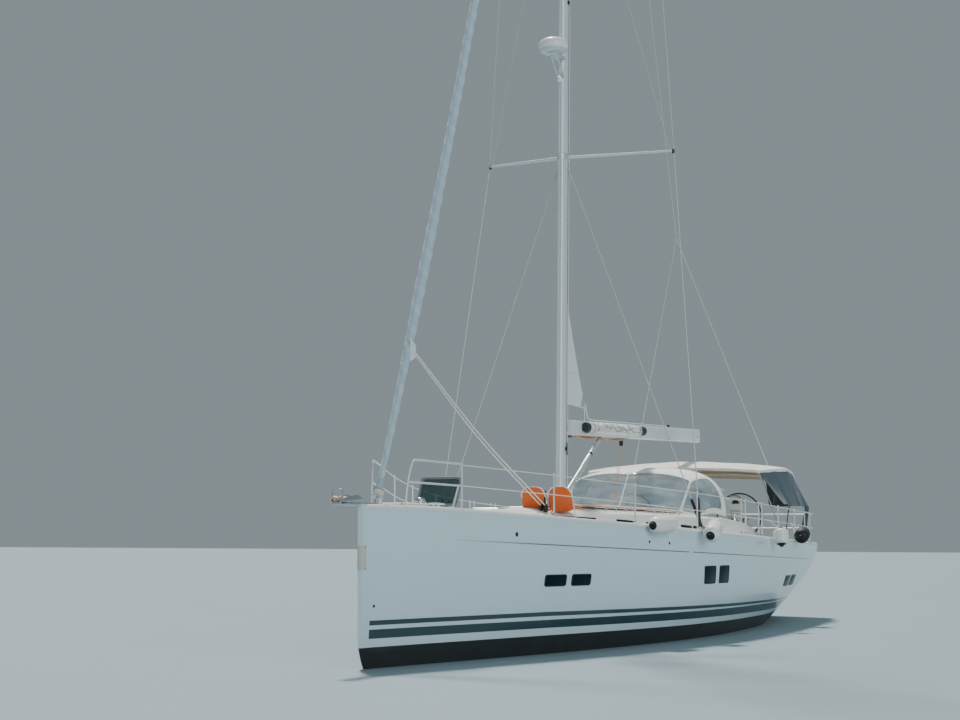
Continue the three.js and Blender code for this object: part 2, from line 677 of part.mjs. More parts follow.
// Spreaders. Columns: node name, root height, tip half breadth, tip back of the mast centre, tip rise
const SPREADERS = [
  ['spreaders_lower', LOWER_SPREADER_Z, 1670, 860, 160],
  ['spreaders_upper', UPPER_SPREADER_Z, 1250, 640, 110],
];
function spreaderTip([, z, half, back, rise], side) {
  const [x] = mastPoint(z, back);
  return [x, side * half, z + rise];
}
for (const row of SPREADERS) {
  const [name, z] = row;
  const arms = [1, -1].map((side) => {
    const [tipX, tipY, tipZ] = spreaderTip(row, side);
    const [rootX] = mastPoint(z);
    const section = (x, y, height, half, deep) => [
      [x + half, y, height], [x + half * 0.3, y, height + deep], [x - half, y, height + deep * 0.3],
      [x - half, y, height - deep * 0.3], [x + half * 0.3, y, height - deep],
    ];
    return loft([section(rootX - 40, 0, z, 85, 26), section(tipX + 10, tipY - side * 25, tipZ - 2, 55, 19)]);
  });
  const collar = loft([z - 60, z + 60].map((height) => Array.from({ length: 14 }, (_, k) => {
    const angle = (2 * Math.PI * k) / 14;
    const [x] = mastPoint(height);
    return [x + (MAST_HALF_DEPTH + 14) * Math.cos(angle), (MAST_HALF_WIDTH + 14) * Math.sin(angle), height];
  })));
  add(name, cut(join(arms[0], arms[1], collar), mastBody(SEAT_GAP)), material('spar', 0.35, 0.6));
}

// Standing rigging. Each stay is one straight piece between two seats, short of both by a small gap.
function stay(start, end, radius, trim = 4) {
  const [a, b] = [new THREE.Vector3(...start), new THREE.Vector3(...end)];
  const along = b.clone().sub(a).normalize();
  return rod(a.addScaledVector(along, trim).toArray(), b.addScaledVector(along, -trim).toArray(), radius, 8);
}

function chainplate(station, side) {
  return onDeck(station, side * (halfBreadth(station) - CHAINPLATE_INSET), 0);
}

// A wire's upper end is inside the mast section, and the mast's skin trims it.
const mastSkin = mastBody(SEAT_GAP);
const hounds = (side) => {
  const [x] = mastPoint(HOUNDS_Z);
  return [x, side * MAST_HALF_WIDTH * 0.6, HOUNDS_Z];
};
const mastSide = (z, side) => [mastPoint(z)[0], side * MAST_HALF_WIDTH * 0.8, z];
const TURNBUCKLE = { length: 420, radius: 20 };

function deckStay(start, end) {
  const [a, b] = [new THREE.Vector3(...start), new THREE.Vector3(...end)];
  const along = b.clone().sub(a).normalize();
  const screwTop = a.clone().addScaledVector(along, TURNBUCKLE.length).toArray();
  const screwFoot = a.clone().addScaledVector(along, -60).toArray();
  return cut(join(stay(screwFoot, end, SHROUD_RADIUS, 0), rod(screwFoot, screwTop, TURNBUCKLE.radius, 8)), hullUp);
}

for (const [word, side] of [['port', 1], ['stbd', -1]]) {
  const [lowTip, highTip] = SPREADERS.map((row) => spreaderTip(row, side));
  const tipLow = [lowTip[0], lowTip[1], lowTip[2] - 14];
  add(`shroud_cap_${word}`, deckStay(chainplate(CHAINPLATE_STATION, side), [tipLow[0], tipLow[1], tipLow[2] - 8]),
    material('steel', 0.3, 0.9));
  add(`shroud_lower_${word}`, deckStay(chainplate(LOWER_CHAINPLATE_STATION, side),
    [mastPoint(LOWER_SPREADER_Z - 180, 20)[0], side * (MAST_HALF_WIDTH + 9), LOWER_SPREADER_Z - 180]),
  material('steel', 0.3, 0.9));
  const capUp = rod([lowTip[0], lowTip[1], lowTip[2] + 30], [highTip[0], highTip[1] + side * 14, highTip[2]], SHROUD_RADIUS, 8);
  const capTop = rod([highTip[0], highTip[1] + side * 14, highTip[2]], hounds(side), SHROUD_RADIUS, 8);
  add(`shroud_upper_${word}`, cut(join(capUp, capTop), mastSkin), material('steel', 0.3, 0.9));
  const midWire = rod([lowTip[0] + 25, lowTip[1] - side * 60, lowTip[2] + 24], mastSide(UPPER_SPREADER_Z - 150, side),
    SHROUD_RADIUS * 0.8, 8);
  add(`shroud_mid_${word}`, cut(midWire, mastSkin), material('steel', 0.3, 0.9));
}

// Backstay: one wire from the masthead to a plate, and a leg to each quarter
const BACKSTAY = { split: [aft(14300), 0, 7700], station: 16540, inset: 370 };
const craneEnd = [mastPoint(MAST_TOP)[0] - 240, 0, MAST_TOP - 70];
const splitPlate = box([BACKSTAY.split[0] - 40, -50, BACKSTAY.split[2] - 60],
  [BACKSTAY.split[0] + 30, 50, BACKSTAY.split[2] + 20]);
const upperWire = join(rod(craneEnd, BACKSTAY.split, SHROUD_RADIUS, 8), splitPlate);
add('backstay_upper', cut(upperWire, shifted(mast, 0, 0, -SEAT_GAP)), material('steel', 0.3, 0.9));
for (const [word, side] of [['port', 1], ['stbd', -1]]) {
  const foot = onDeck(BACKSTAY.station, side * (halfBreadth(BACKSTAY.station) - BACKSTAY.inset));
  const top = [BACKSTAY.split[0] - 20, side * 30, BACKSTAY.split[2] - 70];
  add(`backstay_${word}`, deckStay(foot, top), material('steel', 0.3, 0.9));
}

// Furled headsail on the forestay, which sags a little, and its furling drum
const FORESTAY = { station: 450, foot: 2080, sag: 400, drumTop: 250 };
const FURL_RADII = [[0, 36], [0.02, 39], [0.05, 47], [0.1, 60], [0.14, 71], [0.17, 70], [0.22, 64], [0.34, 61],
  [0.5, 56], [0.75, 44], [0.93, 31], [1, 18]];
function forestayPoint(t) {
  const [topX] = mastPoint(HOUNDS_Z, -MAST_HALF_DEPTH * 0.86 - 24);
  const footX = aft(FORESTAY.station);
  return [
    footX + (topX - footX) * t - 4 * FORESTAY.sag * t * (1 - t), 0,
    FORESTAY.foot + (HOUNDS_Z - FORESTAY.foot) * t,
  ];
}
const furlStart = FORESTAY.drumTop / (HOUNDS_Z - FORESTAY.foot);
const furlPlaces = FURL_RADII.map(([t]) => furlStart + (1 - furlStart) * t);
add('headsail_furled', taperedTube(furlPlaces.map(forestayPoint), FURL_RADII.map(([, r]) => r), 12), material('sail', 0.8));
const drumFoot = forestayPoint(0);
const drumHead = forestayPoint(furlStart);
function buildDrum() {
  const from = new THREE.Vector3(...drumFoot);
  const along = new THREE.Vector3(...drumHead).sub(from).normalize();
  const at = (h) => from.clone().addScaledVector(along, h).toArray();
  const length = new THREE.Vector3(...drumHead).distanceTo(from);
  const toggle = rod(at(-140), at(60), 18, 8);
  const plates = [[20, 32, 95], [32, 118, 62], [118, 130, 95], [130, length - 0.4, 30]]
    .map(([low, high, radius]) => rod(at(low), at(high), radius, 16));
  return cut(join(toggle, ...plates), hullUp);
}
add('furler_drum', buildDrum(), material('black', 0.4));

// Boom with its gooseneck tang, slightly higher at its end
const BOOM = { length: 8150, foreZ: 3420, backZ: 3745, half: 76, foreDeep: 125, backDeep: 136 };
const gooseneckX = mastPoint(GOOSENECK.z, GOOSENECK.back)[0];
const boomEndX = gooseneckX - BOOM.length;
function boomSection(x, z, half, deep) {
  const [h, d] = [half * 0.62, deep * 0.7];
  return [[-half, -d], [-h, -deep], [h, -deep], [half, -d], [half, d], [h, deep], [-h, deep], [-half, d]]
    .map(([y, rise]) => [x, y, z + rise]);
}
function tang(z, reach) {
  const [x] = mastPoint(z, GOOSENECK.back);
  const inner = GOOSENECK.lugHalf - GOOSENECK.lugThick - MOVING_GAP + 4;
  return {
    body: [rod([mastPoint(z - inner, GOOSENECK.back)[0], 0, z - inner],
      [mastPoint(z + inner, GOOSENECK.back)[0], 0, z + inner], 26, 16),
    box([x - reach, -18, z - inner + 6], [x, 18, z + inner - 6])],
    bore: rod(mastPoint(z - 120, GOOSENECK.back), mastPoint(z + 120, GOOSENECK.back), GOOSENECK.pin + 0.6, HULL_BORE_SIDES),
  };
}
function buildBoom() {
  const beam = loft([
    boomSection(gooseneckX - 90, BOOM.foreZ, BOOM.half, BOOM.foreDeep),
    boomSection(boomEndX, BOOM.backZ, BOOM.half, BOOM.backDeep),
  ]);
  const neck = tang(GOOSENECK.z, 110);
  return cut(join(beam, ...neck.body), neck.bore);
}
const boom = buildBoom();
add('boom', boom, material('boom', 0.4));

// Rigid vang from the mast foot to the boom
const VANG = { back: 1800, thin: 26, thick: 36 };
function boomZ(x) {
  const t = (gooseneckX - 90 - x) / (gooseneckX - 90 - boomEndX);
  return BOOM.foreZ + (BOOM.backZ - BOOM.foreZ) * t;
}
function buildVang() {
  const foot = mastPoint(VANG_FOOT_Z, GOOSENECK.back);
  const headX = foot[0] - VANG.back;
  const head = [headX, 0, boomZ(headX) - BOOM.foreDeep - 30];
  const middle = foot.map((v, i) => v + (head[i] - v) * 0.5);
  const start = foot.map((v, i) => v + (head[i] - v) * 0.02);
  const swivel = tang(VANG_FOOT_Z, 60);
  const lug = box([headX - 60, -22, head[2] - 30], [headX + 60, 22, head[2] + 60]);
  const body = join(rod(start, middle, VANG.thin, 12), rod(middle, head, VANG.thick, 12), ...swivel.body, lug);
  return cut(body, swivel.bore, shifted(boom, 0, 0, -SEAT_GAP));
}
add('vang', buildVang(), material('spar', 0.35, 0.5));

// The part of the mainsail that shows aft of the mast, from its luff to its clew
const MAIN_CLEW = { high: 5720, low: 3810, clewStation: 8490, clewZ: 3790, thick: 9, strap: 8 };
function buildMainClew() {
  const luff = MAST_HALF_DEPTH + 16;
  const outline = [mastPoint(MAIN_CLEW.high, luff), mastPoint(MAIN_CLEW.low, luff),
    [aft(MAIN_CLEW.clewStation), 0, MAIN_CLEW.clewZ], [aft(MAIN_CLEW.clewStation), 0, MAIN_CLEW.clewZ + 70]];
  const cloth = loft([1, -1].map((side) => outline.map(([x, , z]) => [x, side * MAIN_CLEW.thick, z])));
  const clewX = aft(MAIN_CLEW.clewStation - 25);
  return join(cloth, rod([clewX, 0, BOOM.foreZ], [clewX, 0, MAIN_CLEW.clewZ + 40], MAIN_CLEW.strap, 6));
}
add('mainsail_clew', cut(buildMainClew(), shifted(boom, 0, 0, SEAT_GAP)), material('sail', 0.8));

// Rolled cover lashed to the port side of the boom
const BUNDLE = { fore: 8150, back: 11400, half: 70, deep: 95 };
function buildBundle() {
  const rings = [[0, 0.45], [0.04, 0.85], [0.3, 1], [0.7, 0.95], [0.96, 0.8], [1, 0.4]].map(([t, share]) => {
    const x = aft(BUNDLE.fore + (BUNDLE.back - BUNDLE.fore) * t);
    return Array.from({ length: 10 }, (_, k) => {
      const angle = (2 * Math.PI * k) / 10;
      return [x, BOOM.half + 50 + BUNDLE.half * share * Math.cos(angle), boomZ(x) + 20 + BUNDLE.deep * share * Math.sin(angle)];
    });
  });
  return cut(loft(rings), shifted(boom, 0, SEAT_GAP, 0));
}
add('boom_bundle', buildBundle(), material('sail', 0.9));

// Radar dome on its bracket, forward of the mast
const RADAR = { z: 9600, fore: 500, radius: 250, height: 240 };
function buildRadar() {
  const [x, , z] = mastPoint(RADAR.z, -RADAR.fore);
  const dome = turned([[0, 0], [RADAR.radius * 0.8, 0], [RADAR.radius, 60], [RADAR.radius * 0.96, 150],
    [RADAR.radius * 0.6, RADAR.height], [0, RADAR.height]], 16).translate(x, 0, z);
  const shelf = box([mastPoint(RADAR.z)[0], -80, z - 26], [x + 60, 80, z + 9]);
  const brace = rod([x - 21, 0, z - 9], mastPoint(RADAR.z - 330, -40), 22, 8);
  return cut(join(bare(dome), shelf, brace), mastBody(SEAT_GAP));
}
add('radar', buildRadar(), material('radar', 0.4));

// Bow roller: an arm that reaches ahead of the stem, with a roller between its cheeks
const ROLLER = { fore: -560, back: 320, chockFore: 200, y: -60, half: 70, plate: 40, cheek: 95, radius: 38 };
function buildBowRoller() {
  const base = deckZ(0) + SEAT_GAP;
  const [nearY, farY] = [ROLLER.y - ROLLER.half, ROLLER.y + ROLLER.half];
  const plate = box([aft(ROLLER.back), nearY, base], [aft(ROLLER.fore), farY, base + ROLLER.plate]);
  const chock = box([aft(ROLLER.back), nearY, base - 50], [aft(ROLLER.chockFore), farY, base + 5]);
  const cheeks = [nearY, farY - 10].map((y) => box(
    [aft(150), y, base], [aft(ROLLER.fore), y + 10, base + ROLLER.plate + ROLLER.cheek],
  ));
  const rollers = [70, 330].map((back) => rod([aft(ROLLER.fore + back), nearY + 5, base + ROLLER.plate + 30],
    [aft(ROLLER.fore + back), farY - 5, base + ROLLER.plate + 30], ROLLER.radius, 12));
  return cut(join(plate, chock, ...cheeks, ...rollers), ...hullPort, ...hullStbd);
}
add('bow_roller', buildBowRoller(), material('steel', 0.25, 0.9));

// Windlass on the foredeck
function buildWindlass() {
  const [x, , z] = onDeck(1750, 0);
  const base = rod([x, 0, z - 40], [x, 0, z + 40], 110, 16);
  const gypsy = rod([x, 0, z + 35], [x, 0, z + 150], 75, 16, 55);
  return cut(join(base, gypsy), hullUp);
}
add('windlass', buildWindlass(), material('steel', 0.25, 0.9));

// Guard rails
const edgeY = (station) => halfBreadth(station) - RAIL_INSET;
function railPoint(station, lift, side = 1) {
  return onDeck(station, side * edgeY(station), lift);
}
const PULPIT = { fore: 785, foreTop: 915, bend: 1300, back: 1775 };
function buildPulpit() {
  const top = [railPoint(PULPIT.fore, -40), railPoint(PULPIT.fore + 40, 320), railPoint(PULPIT.foreTop - 20, 550),
    railPoint(PULPIT.foreTop + 60, RAIL_HEIGHT), railPoint(PULPIT.bend, RAIL_HEIGHT), railPoint(PULPIT.back, RAIL_HEIGHT)];
  const pieces = [
    bentTube(top, RAIL_RADIUS, 14),
    rod(railPoint(PULPIT.back, -40), railPoint(PULPIT.back, RAIL_HEIGHT + 8), RAIL_RADIUS),
    rod(railPoint(PULPIT.fore + 45, MID_RAIL_HEIGHT), railPoint(PULPIT.back, MID_RAIL_HEIGHT), RAIL_RADIUS),
    rod(railPoint(PULPIT.back - 170, -40), railPoint(PULPIT.back - 60, MID_RAIL_HEIGHT), RAIL_RADIUS),
  ];
  return cut(join(...pieces.map(bare)), hullUp);
}
const pulpit = buildPulpit();
add('pulpit_port', pulpit, material('steel', 0.15, 1));
add('pulpit_stbd', mirrored(pulpit), material('steel', 0.15, 1));

const STANCHIONS = [3550, 5450, 7330, 9330, 9560, 10420, 10650, 11900, 13500];
const PUSHPIT = { fore: 14800, back: 16500, corner: 1650 };
const WIRE_STOPS = [PULPIT.back + 14, ...STANCHIONS, PUSHPIT.fore - 14];
function wirePoint(station, lift) {
  const i = WIRE_STOPS.findIndex((stop) => stop > station);
  const t = (station - WIRE_STOPS[i - 1]) / (WIRE_STOPS[i] - WIRE_STOPS[i - 1]);
  const [a, b] = [railPoint(WIRE_STOPS[i - 1], lift), railPoint(WIRE_STOPS[i], lift)];
  return a.map((v, k) => v + (b[k] - v) * t);
}
function buildLifelines() {
  const posts = STANCHIONS.map((station) => rod(railPoint(station, -40), railPoint(station, RAIL_HEIGHT), RAIL_RADIUS, 6));
  const wires = [RAIL_HEIGHT - 12, MID_RAIL_HEIGHT].flatMap((lift) => WIRE_STOPS.slice(1).map((station, i) => (
    rod(railPoint(WIRE_STOPS[i], lift), railPoint(station, lift), WIRE_RADIUS, 4))));
  return cut(join(...posts, ...wires), hullUp);
}
const lifelines = buildLifelines();
add('lifelines_port', lifelines, material('steel', 0.2, 0.9));
add('lifelines_stbd', mirrored(lifelines), material('steel', 0.2, 0.9));

function buildPushpit() {
  const cornerY = edgeY(PUSHPIT.back) - 90;
  const cornerZ = deckZ(PUSHPIT.back, cornerY);
  const rail = (lift) => [
    railPoint(PUSHPIT.fore, lift), railPoint(15600, lift), railPoint(16250, lift),
    [aft(16500), cornerY, cornerZ + lift], [aft(16580), cornerY - 330, cornerZ + lift],
    [aft(16600), 900, cornerZ + lift], [aft(16600), 480, cornerZ + lift],
  ];
  const foot = (x, y) => [x, y, cornerZ - 60];
  const pieces = [
    bentTube(rail(RAIL_HEIGHT), RAIL_RADIUS, 14),
    bentTube(rail(MID_RAIL_HEIGHT), RAIL_RADIUS * 0.8, 14),
    rod(railPoint(PUSHPIT.fore, -40), railPoint(PUSHPIT.fore, RAIL_HEIGHT + 8), RAIL_RADIUS),
    rod(railPoint(15700, -40), railPoint(15700, RAIL_HEIGHT), RAIL_RADIUS),
    rod(foot(aft(16500), cornerY), [aft(16500), cornerY, cornerZ + RAIL_HEIGHT], RAIL_RADIUS),
    rod(foot(aft(16600), 480), [aft(16600), 480, cornerZ + RAIL_HEIGHT + 8], RAIL_RADIUS),
  ];
  return cut(join(...pieces.map(bare)), hullUp);
}
const pushpit = buildPushpit();
add('pushpit_port', pushpit, material('steel', 0.15, 1));
add('pushpit_stbd', mirrored(pushpit), material('steel', 0.15, 1));

// Sprayhood: an open shell from the coachroof back over the front of the cockpit
const HOOD = { front: 10260, back: 12400, half: 1430, crown: 2930, foot: 1990, thick: 22, shape: 2 / 3 };
function hoodPoint(angle, v, inward) {
  const across = Math.sign(Math.cos(angle)) * Math.abs(Math.cos(angle)) ** HOOD.shape;
  const up = Math.abs(Math.sin(angle)) ** HOOD.shape;
  const half = HOOD.half - inward;
  const side = Math.abs(across) ** 2.4;
  const frontStation = HOOD.front + 480 * side;
  const roof = HOOD.foot + 60 * (1 - side);
  const crown = HOOD.crown - inward;
  const top = roof + (crown - roof) * up;
  const rows = [
    [HOOD.back, top - 40 * (1 - up)],
    [HOOD.back - 700, top - 15 * up],
    [HOOD.front + 700 + 250 * side, roof + (crown - 130 - roof) * up],
    [frontStation + inward, roof + 12 * up],
  ];
  const [station, z] = rows[v];
  const narrow = [1, 1, 0.985, 0.93][v];
  return [aft(station), across * half * narrow, z];
}
function buildHood() {
  const rings = Array.from({ length: 17 }, (_, k) => {
    const angle = 0.02 + ((Math.PI - 0.04) * k) / 16;
    const outer = [0, 1, 2, 3].map((v) => hoodPoint(angle, v, 0));
    const inner = [3, 2, 1, 0].map((v) => hoodPoint(angle, v, HOOD.thick));
    return [...outer, ...inner];
  });
  return cut(loft(rings), roofUp, hullUp, shifted(coaming, 0, 0, SEAT_GAP), shifted(mirrored(coaming), 0, 0, SEAT_GAP));
}
add('sprayhood', buildHood(), material('canvas', 0.8));

// Bimini top. Columns: station, half breadth, crown height, edge height
const BIMINI = [
  [13800, 1740, 3000, 2935], [14350, 1930, 3110, 2985], [14900, 2060, 3165, 3015], [15400, 2060, 3105, 2970],
  [15700, 2045, 3010, 2890], [15880, 2030, 2920, 2820],
];
const BIMINI_THICK = 20;
const BIMINI_HEM = 70;
function buildBimini() {
  const rings = BIMINI.map(([station, half, crown, edge]) => {
    const outer = Array.from({ length: 13 }, (_, k) => {
      const y = half * Math.cos((Math.PI * k) / 12);
      const drop = (y / half) ** 2;
      return [aft(station), y, crown - (crown - edge) * drop - (Math.abs(y) > half * 0.99 ? BIMINI_HEM : 0)];
    });
    const inner = outer.slice().reverse().map(([x, y, z]) => [x, y * 0.985, z - BIMINI_THICK]);
    return [...outer, ...inner];
  });
  return loft(rings);
}
const bimini = buildBimini();
add('bimini', bimini, material('canvas', 0.8));
const biminiDown = shifted(bimini, 0, 0, -SEAT_GAP);

// Bimini bows: two arches whose feet stand close together on each side deck
const BOWS = { foot: 14500, aftFoot: 14570, footY: 2080, front: 13950, back: 15700, radius: 14 };
function bowAt(station, footStation) {
  const [half, crown, edge] = [1, 2, 3].map((c) => column(BIMINI, c, station));
  const under = BIMINI_THICK + BOWS.radius + 10;
  const footZ = deckZ(footStation, BOWS.footY);
  const shape = [0.96, 0.8, 0.45, 0].map((share) => [
    aft(station), half * share, crown - (crown - edge) * share ** 2 - under,
  ]);
  const leg = [aft(footStation + (station - footStation) * 0.86), half * 0.985, edge - 200];
  const foot = [aft(footStation), BOWS.footY, footZ - 30];
  const portSide = [foot, leg, ...shape];
  const stbdSide = portSide.slice(0, -1).reverse().map(([x, y, z]) => [x, -y, z]);
  return bentTube([...portSide, ...stbdSide], BOWS.radius, 28);
}
for (const [name, station, footStation] of [['bimini_bow_fore', BOWS.front, BOWS.foot],
  ['bimini_bow_aft', BOWS.back, BOWS.aftFoot]]) {
  add(name, cut(bare(bowAt(station, footStation)), hullUp, biminiDown), material('steel', 0.2, 0.9));
}

// Curtain at the port quarter, hanging just outside the bimini's hem and spread out at its foot.
// Columns: station of its head, then station, half breadth and height of its foot
const CURTAIN_SIDE = [
  [13800, 13960, 2190, 2270], [14350, 14400, 2235, 2265], [14900, 14980, 2265, 2260], [15400, 15480, 2290, 2255],
  [15700, 15760, 2290, 2255],
];
const CURTAIN_END = [[1900, 15990, 2060, 2270], [1400, 15995, 1450, 2290]];
const CURTAIN_THICK = 14;
const CURTAIN_GAP = 0.4;
function buildCurtain() {
  const row = (station) => BIMINI.find((line) => line[0] === station);
  const rings = CURTAIN_SIDE.map(([station, footStation, footY, footZ]) => {
    const [, half, , edge] = row(station);
    const [x, footX, z] = [aft(station), aft(footStation), edge - BIMINI_HEM + 12];
    const y = half + CURTAIN_GAP;
    return [[x, y + CURTAIN_THICK, z], [footX, footY, footZ], [footX, footY - CURTAIN_THICK, footZ], [x, y, z]];
  });
  const [last, half, crown, edge] = row(15880);
  const x = aft(last) - CURTAIN_GAP;
  const corner = half + CURTAIN_GAP;
  rings.push([[x - CURTAIN_THICK, corner + CURTAIN_THICK, edge - BIMINI_HEM + 12], [aft(15970), 2245, 2257],
    [aft(15970) + 10, 2235, 2257], [x, corner, edge - BIMINI_HEM + 12]]);
  for (const [y, footStation, footY, footZ] of CURTAIN_END) {
    const z = crown - (crown - edge) * (y / half) ** 2;
    rings.push([[x - CURTAIN_THICK, y, z], [aft(footStation), footY, footZ],
      [aft(footStation) + CURTAIN_THICK, footY, footZ], [x, y, z]]);
  }
  return loft(rings);
}
add('bimini_curtain', buildCurtain(), material('curtain', 0.85));

// Fenders. Columns: node name, one end, other end, and the station where its cord meets the lower guard wire
const FENDERS = [
  ['fender_1', [5560, 2050, 1790], [6260, 2175, 1830], 6300],
  ['fender_2', [7080, 2530, 1640], [7560, 2490, 1800], 7600],
  ['fender_3', [11000, 2790, 1500], [11080, 2760, 1780], 11090],
  ['fender_4', [12900, 2740, 1640], [13360, 2700, 1720], 13200],
];
const FENDER_RADIUS = 135;
const CORD_RADIUS = 5;
const wireSkin = grown(lifelines, 0, SEAT_GAP, -SEAT_GAP);
for (const [name, from, to, cordStation] of FENDERS) {
  const [a, b] = [from, to].map(([s, y, z]) => [aft(s), y, z]);
  const at = (t) => a.map((v, i) => v + (b[i] - v) * t);
  const share = [[0, 0.3], [0.06, 0.7], [0.2, 1], [0.8, 1], [0.94, 0.7], [1, 0.3]];
  const blank = taperedTube(share.map(([t]) => at(t)), share.map(([, r]) => r * FENDER_RADIUS), 12);
  const [wireX, wireY, wireZ] = wirePoint(cordStation, MID_RAIL_HEIGHT);
  const cord = rod(at(0.97), [wireX, wireY + CORD_RADIUS - 1, wireZ - 2], CORD_RADIUS, 5);
  add(name, cut(join(blank, cord), ...hullPort, ...wireSkin), material('fender', 0.35));
}

// Two folding deck chairs on the fore end of the coachroof
const CHAIRS = [['deck_chair_1', 380], ['deck_chair_2', 800]];
const CHAIR = { station: 5000, width: 380, seat: 420, back: 380, thick: 45 };
for (const [name, y] of CHAIRS) {
  const floor = roofTopZ(CHAIR.station) - 60;
  const side = new THREE.Shape([[0, 0], [CHAIR.seat, 0], [CHAIR.seat, CHAIR.thick], [CHAIR.thick, CHAIR.thick],
    [-110, CHAIR.back], [-110 - CHAIR.thick, CHAIR.back - 12]].map(([u, w]) => new THREE.Vector2(u, w)));
  const blank = new THREE.ExtrudeGeometry(side, { depth: CHAIR.width, bevelEnabled: false });
  blank.rotateX(Math.PI / 2).translate(0, CHAIR.width / 2, 0).rotateZ(Math.PI);
  blank.translate(aft(CHAIR.station), y, floor + 20);
  add(name, cut(bare(blank), roofUp), material('orange', 0.8));
}

// Two long cushions along the port side of the coachroof. Columns: node name, ends as station and breadth
const CUSHIONS = [
  ['roof_cushion_fore', [6000, 640], [8450, 960]],
  ['roof_cushion_aft', [8500, 965], [10180, 1100]],
];
const CUSHION = { width: 520, thick: 75 };
for (const [name, from, to] of CUSHIONS) {
  const ring = ([station, y]) => {
    const z = roofTopZ(station) - 30;
    return [[y + 150, z - 60], [y + 150, z + CUSHION.thick - 20], [y - CUSHION.width + 150, z + CUSHION.thick],
      [y - CUSHION.width + 150, z - 60]].map(([wide, height]) => [aft(station), wide, height]);
  };
  add(name, cut(loft([ring(from), ring(to)]), roofUp), material('tan', 0.85));
}

export default group;
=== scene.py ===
"""Looks of the sailing yacht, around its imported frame. Metres: +X to the bow, +Y to port, +Z up.

A place along the boat is given by its station, the distance aft of the stem head.
"""
import math

import bpy
from mathutils import Matrix, Vector


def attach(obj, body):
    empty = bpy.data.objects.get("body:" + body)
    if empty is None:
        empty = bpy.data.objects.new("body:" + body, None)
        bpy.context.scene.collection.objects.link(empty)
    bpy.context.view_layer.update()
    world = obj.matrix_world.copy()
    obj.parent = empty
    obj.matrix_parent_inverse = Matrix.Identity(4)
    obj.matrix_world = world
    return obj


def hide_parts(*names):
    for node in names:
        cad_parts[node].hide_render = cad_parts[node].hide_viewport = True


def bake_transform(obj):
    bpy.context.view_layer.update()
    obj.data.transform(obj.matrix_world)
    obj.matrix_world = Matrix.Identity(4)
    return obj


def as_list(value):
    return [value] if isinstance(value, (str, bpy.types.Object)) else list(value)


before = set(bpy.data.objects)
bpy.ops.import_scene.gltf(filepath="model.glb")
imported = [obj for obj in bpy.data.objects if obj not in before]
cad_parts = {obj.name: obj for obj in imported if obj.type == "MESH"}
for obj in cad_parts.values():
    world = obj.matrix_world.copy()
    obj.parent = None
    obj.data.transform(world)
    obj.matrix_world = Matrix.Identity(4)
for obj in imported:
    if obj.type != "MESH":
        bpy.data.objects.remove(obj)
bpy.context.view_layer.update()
HULL_LENGTH = 16.7
MIDSHIP = HULL_LENGTH / 2

# Camera, floor and light
CAMERA_PLACE = Vector((26.746, 9.202, 1.583))
CAMERA_AHEAD = Vector((-0.91853, -0.38068, 0.10671)).normalized()
CAMERA_ROLL = 0.003
CAMERA_LENS = 62.56


def add_camera():
    bpy.ops.object.camera_add()
    camera = bpy.context.object
    right = CAMERA_AHEAD.cross(Vector((0, 0, 1))).normalized()
    up = right.cross(CAMERA_AHEAD)
    turn, slip = math.cos(CAMERA_ROLL), math.sin(CAMERA_ROLL)
    side, top = right * turn + up * slip, up * turn - right * slip
    camera.matrix_world = (Matrix.Translation(CAMERA_PLACE)
                           @ Matrix((side, top, -CAMERA_AHEAD)).transposed().to_4x4())
    camera.data.lens = CAMERA_LENS
    camera.data.sensor_width = 36
    camera.data.clip_end = 500
    bpy.context.scene.camera = camera


def add_sun(name, energy, angle, toward, colour=(1, 1, 1)):
    bpy.ops.object.light_add(type="SUN")
    lamp = bpy.context.object
    lamp.name = name
    lamp.rotation_euler = Vector(toward).to_track_quat("-Z", "Y").to_euler()
    lamp.data.energy = energy
    lamp.data.angle = math.radians(angle)
    lamp.data.color = colour


add_camera()
add_sun("key_light", 4.6, 6, (0.42, 0.28, -0.9), (1.0, 0.985, 0.95))
add_sun("fill_light", 1.25, 40, (-0.62, -0.75, -0.28), (0.9, 0.985, 1.0))
world = bpy.data.worlds.new("studio")
world.use_nodes = True
sky = world.node_tree.nodes["Background"]
sky.inputs["Color"].default_value = (0.66, 0.8, 0.86, 1)
sky.inputs["Strength"].default_value = 0.36
bpy.context.scene.world = world


# Shader maths
class Signal:
    """A socket's value, whose arithmetic adds Math nodes."""

    def __init__(self, finish, socket):
        self.finish, self.socket = finish, socket

    def maths(self, operation, *values):
        return self.finish.node("ShaderNodeMath", {"operation": operation}, *values)

    def __add__(self, other):
        return self.maths("ADD", self, other)

    __radd__ = __add__

    def __sub__(self, other):
        return self.maths("SUBTRACT", self, other)

    def __rsub__(self, other):
        return self.maths("SUBTRACT", other, self)

    def __mul__(self, other):
        return self.maths("MULTIPLY", self, other)

    __rmul__ = __mul__

    def __truediv__(self, other):
        return self.maths("DIVIDE", self, other)

    def __abs__(self):
        return self.maths("ABSOLUTE", self)

    def wave(self, length):
        """A triangle wave from 0 to 1 to 0 along the value."""
        return self.maths("PINGPONG", self, length / 2) / (length / 2)

    def greater(self, other):
        return self.maths("MAXIMUM", self, other)

    def over(self, level, blur=0.002):
        """0 below the level and 1 above it, with a soft edge."""
        return self.finish.node("ShaderNodeMapRange", {"clamp": True}, Value=self - level,
                                From_Min=-blur, From_Max=blur)

    def between(self, low, high, blur=0.002):
        return self.over(low, blur) * (1 - self.over(high, blur))


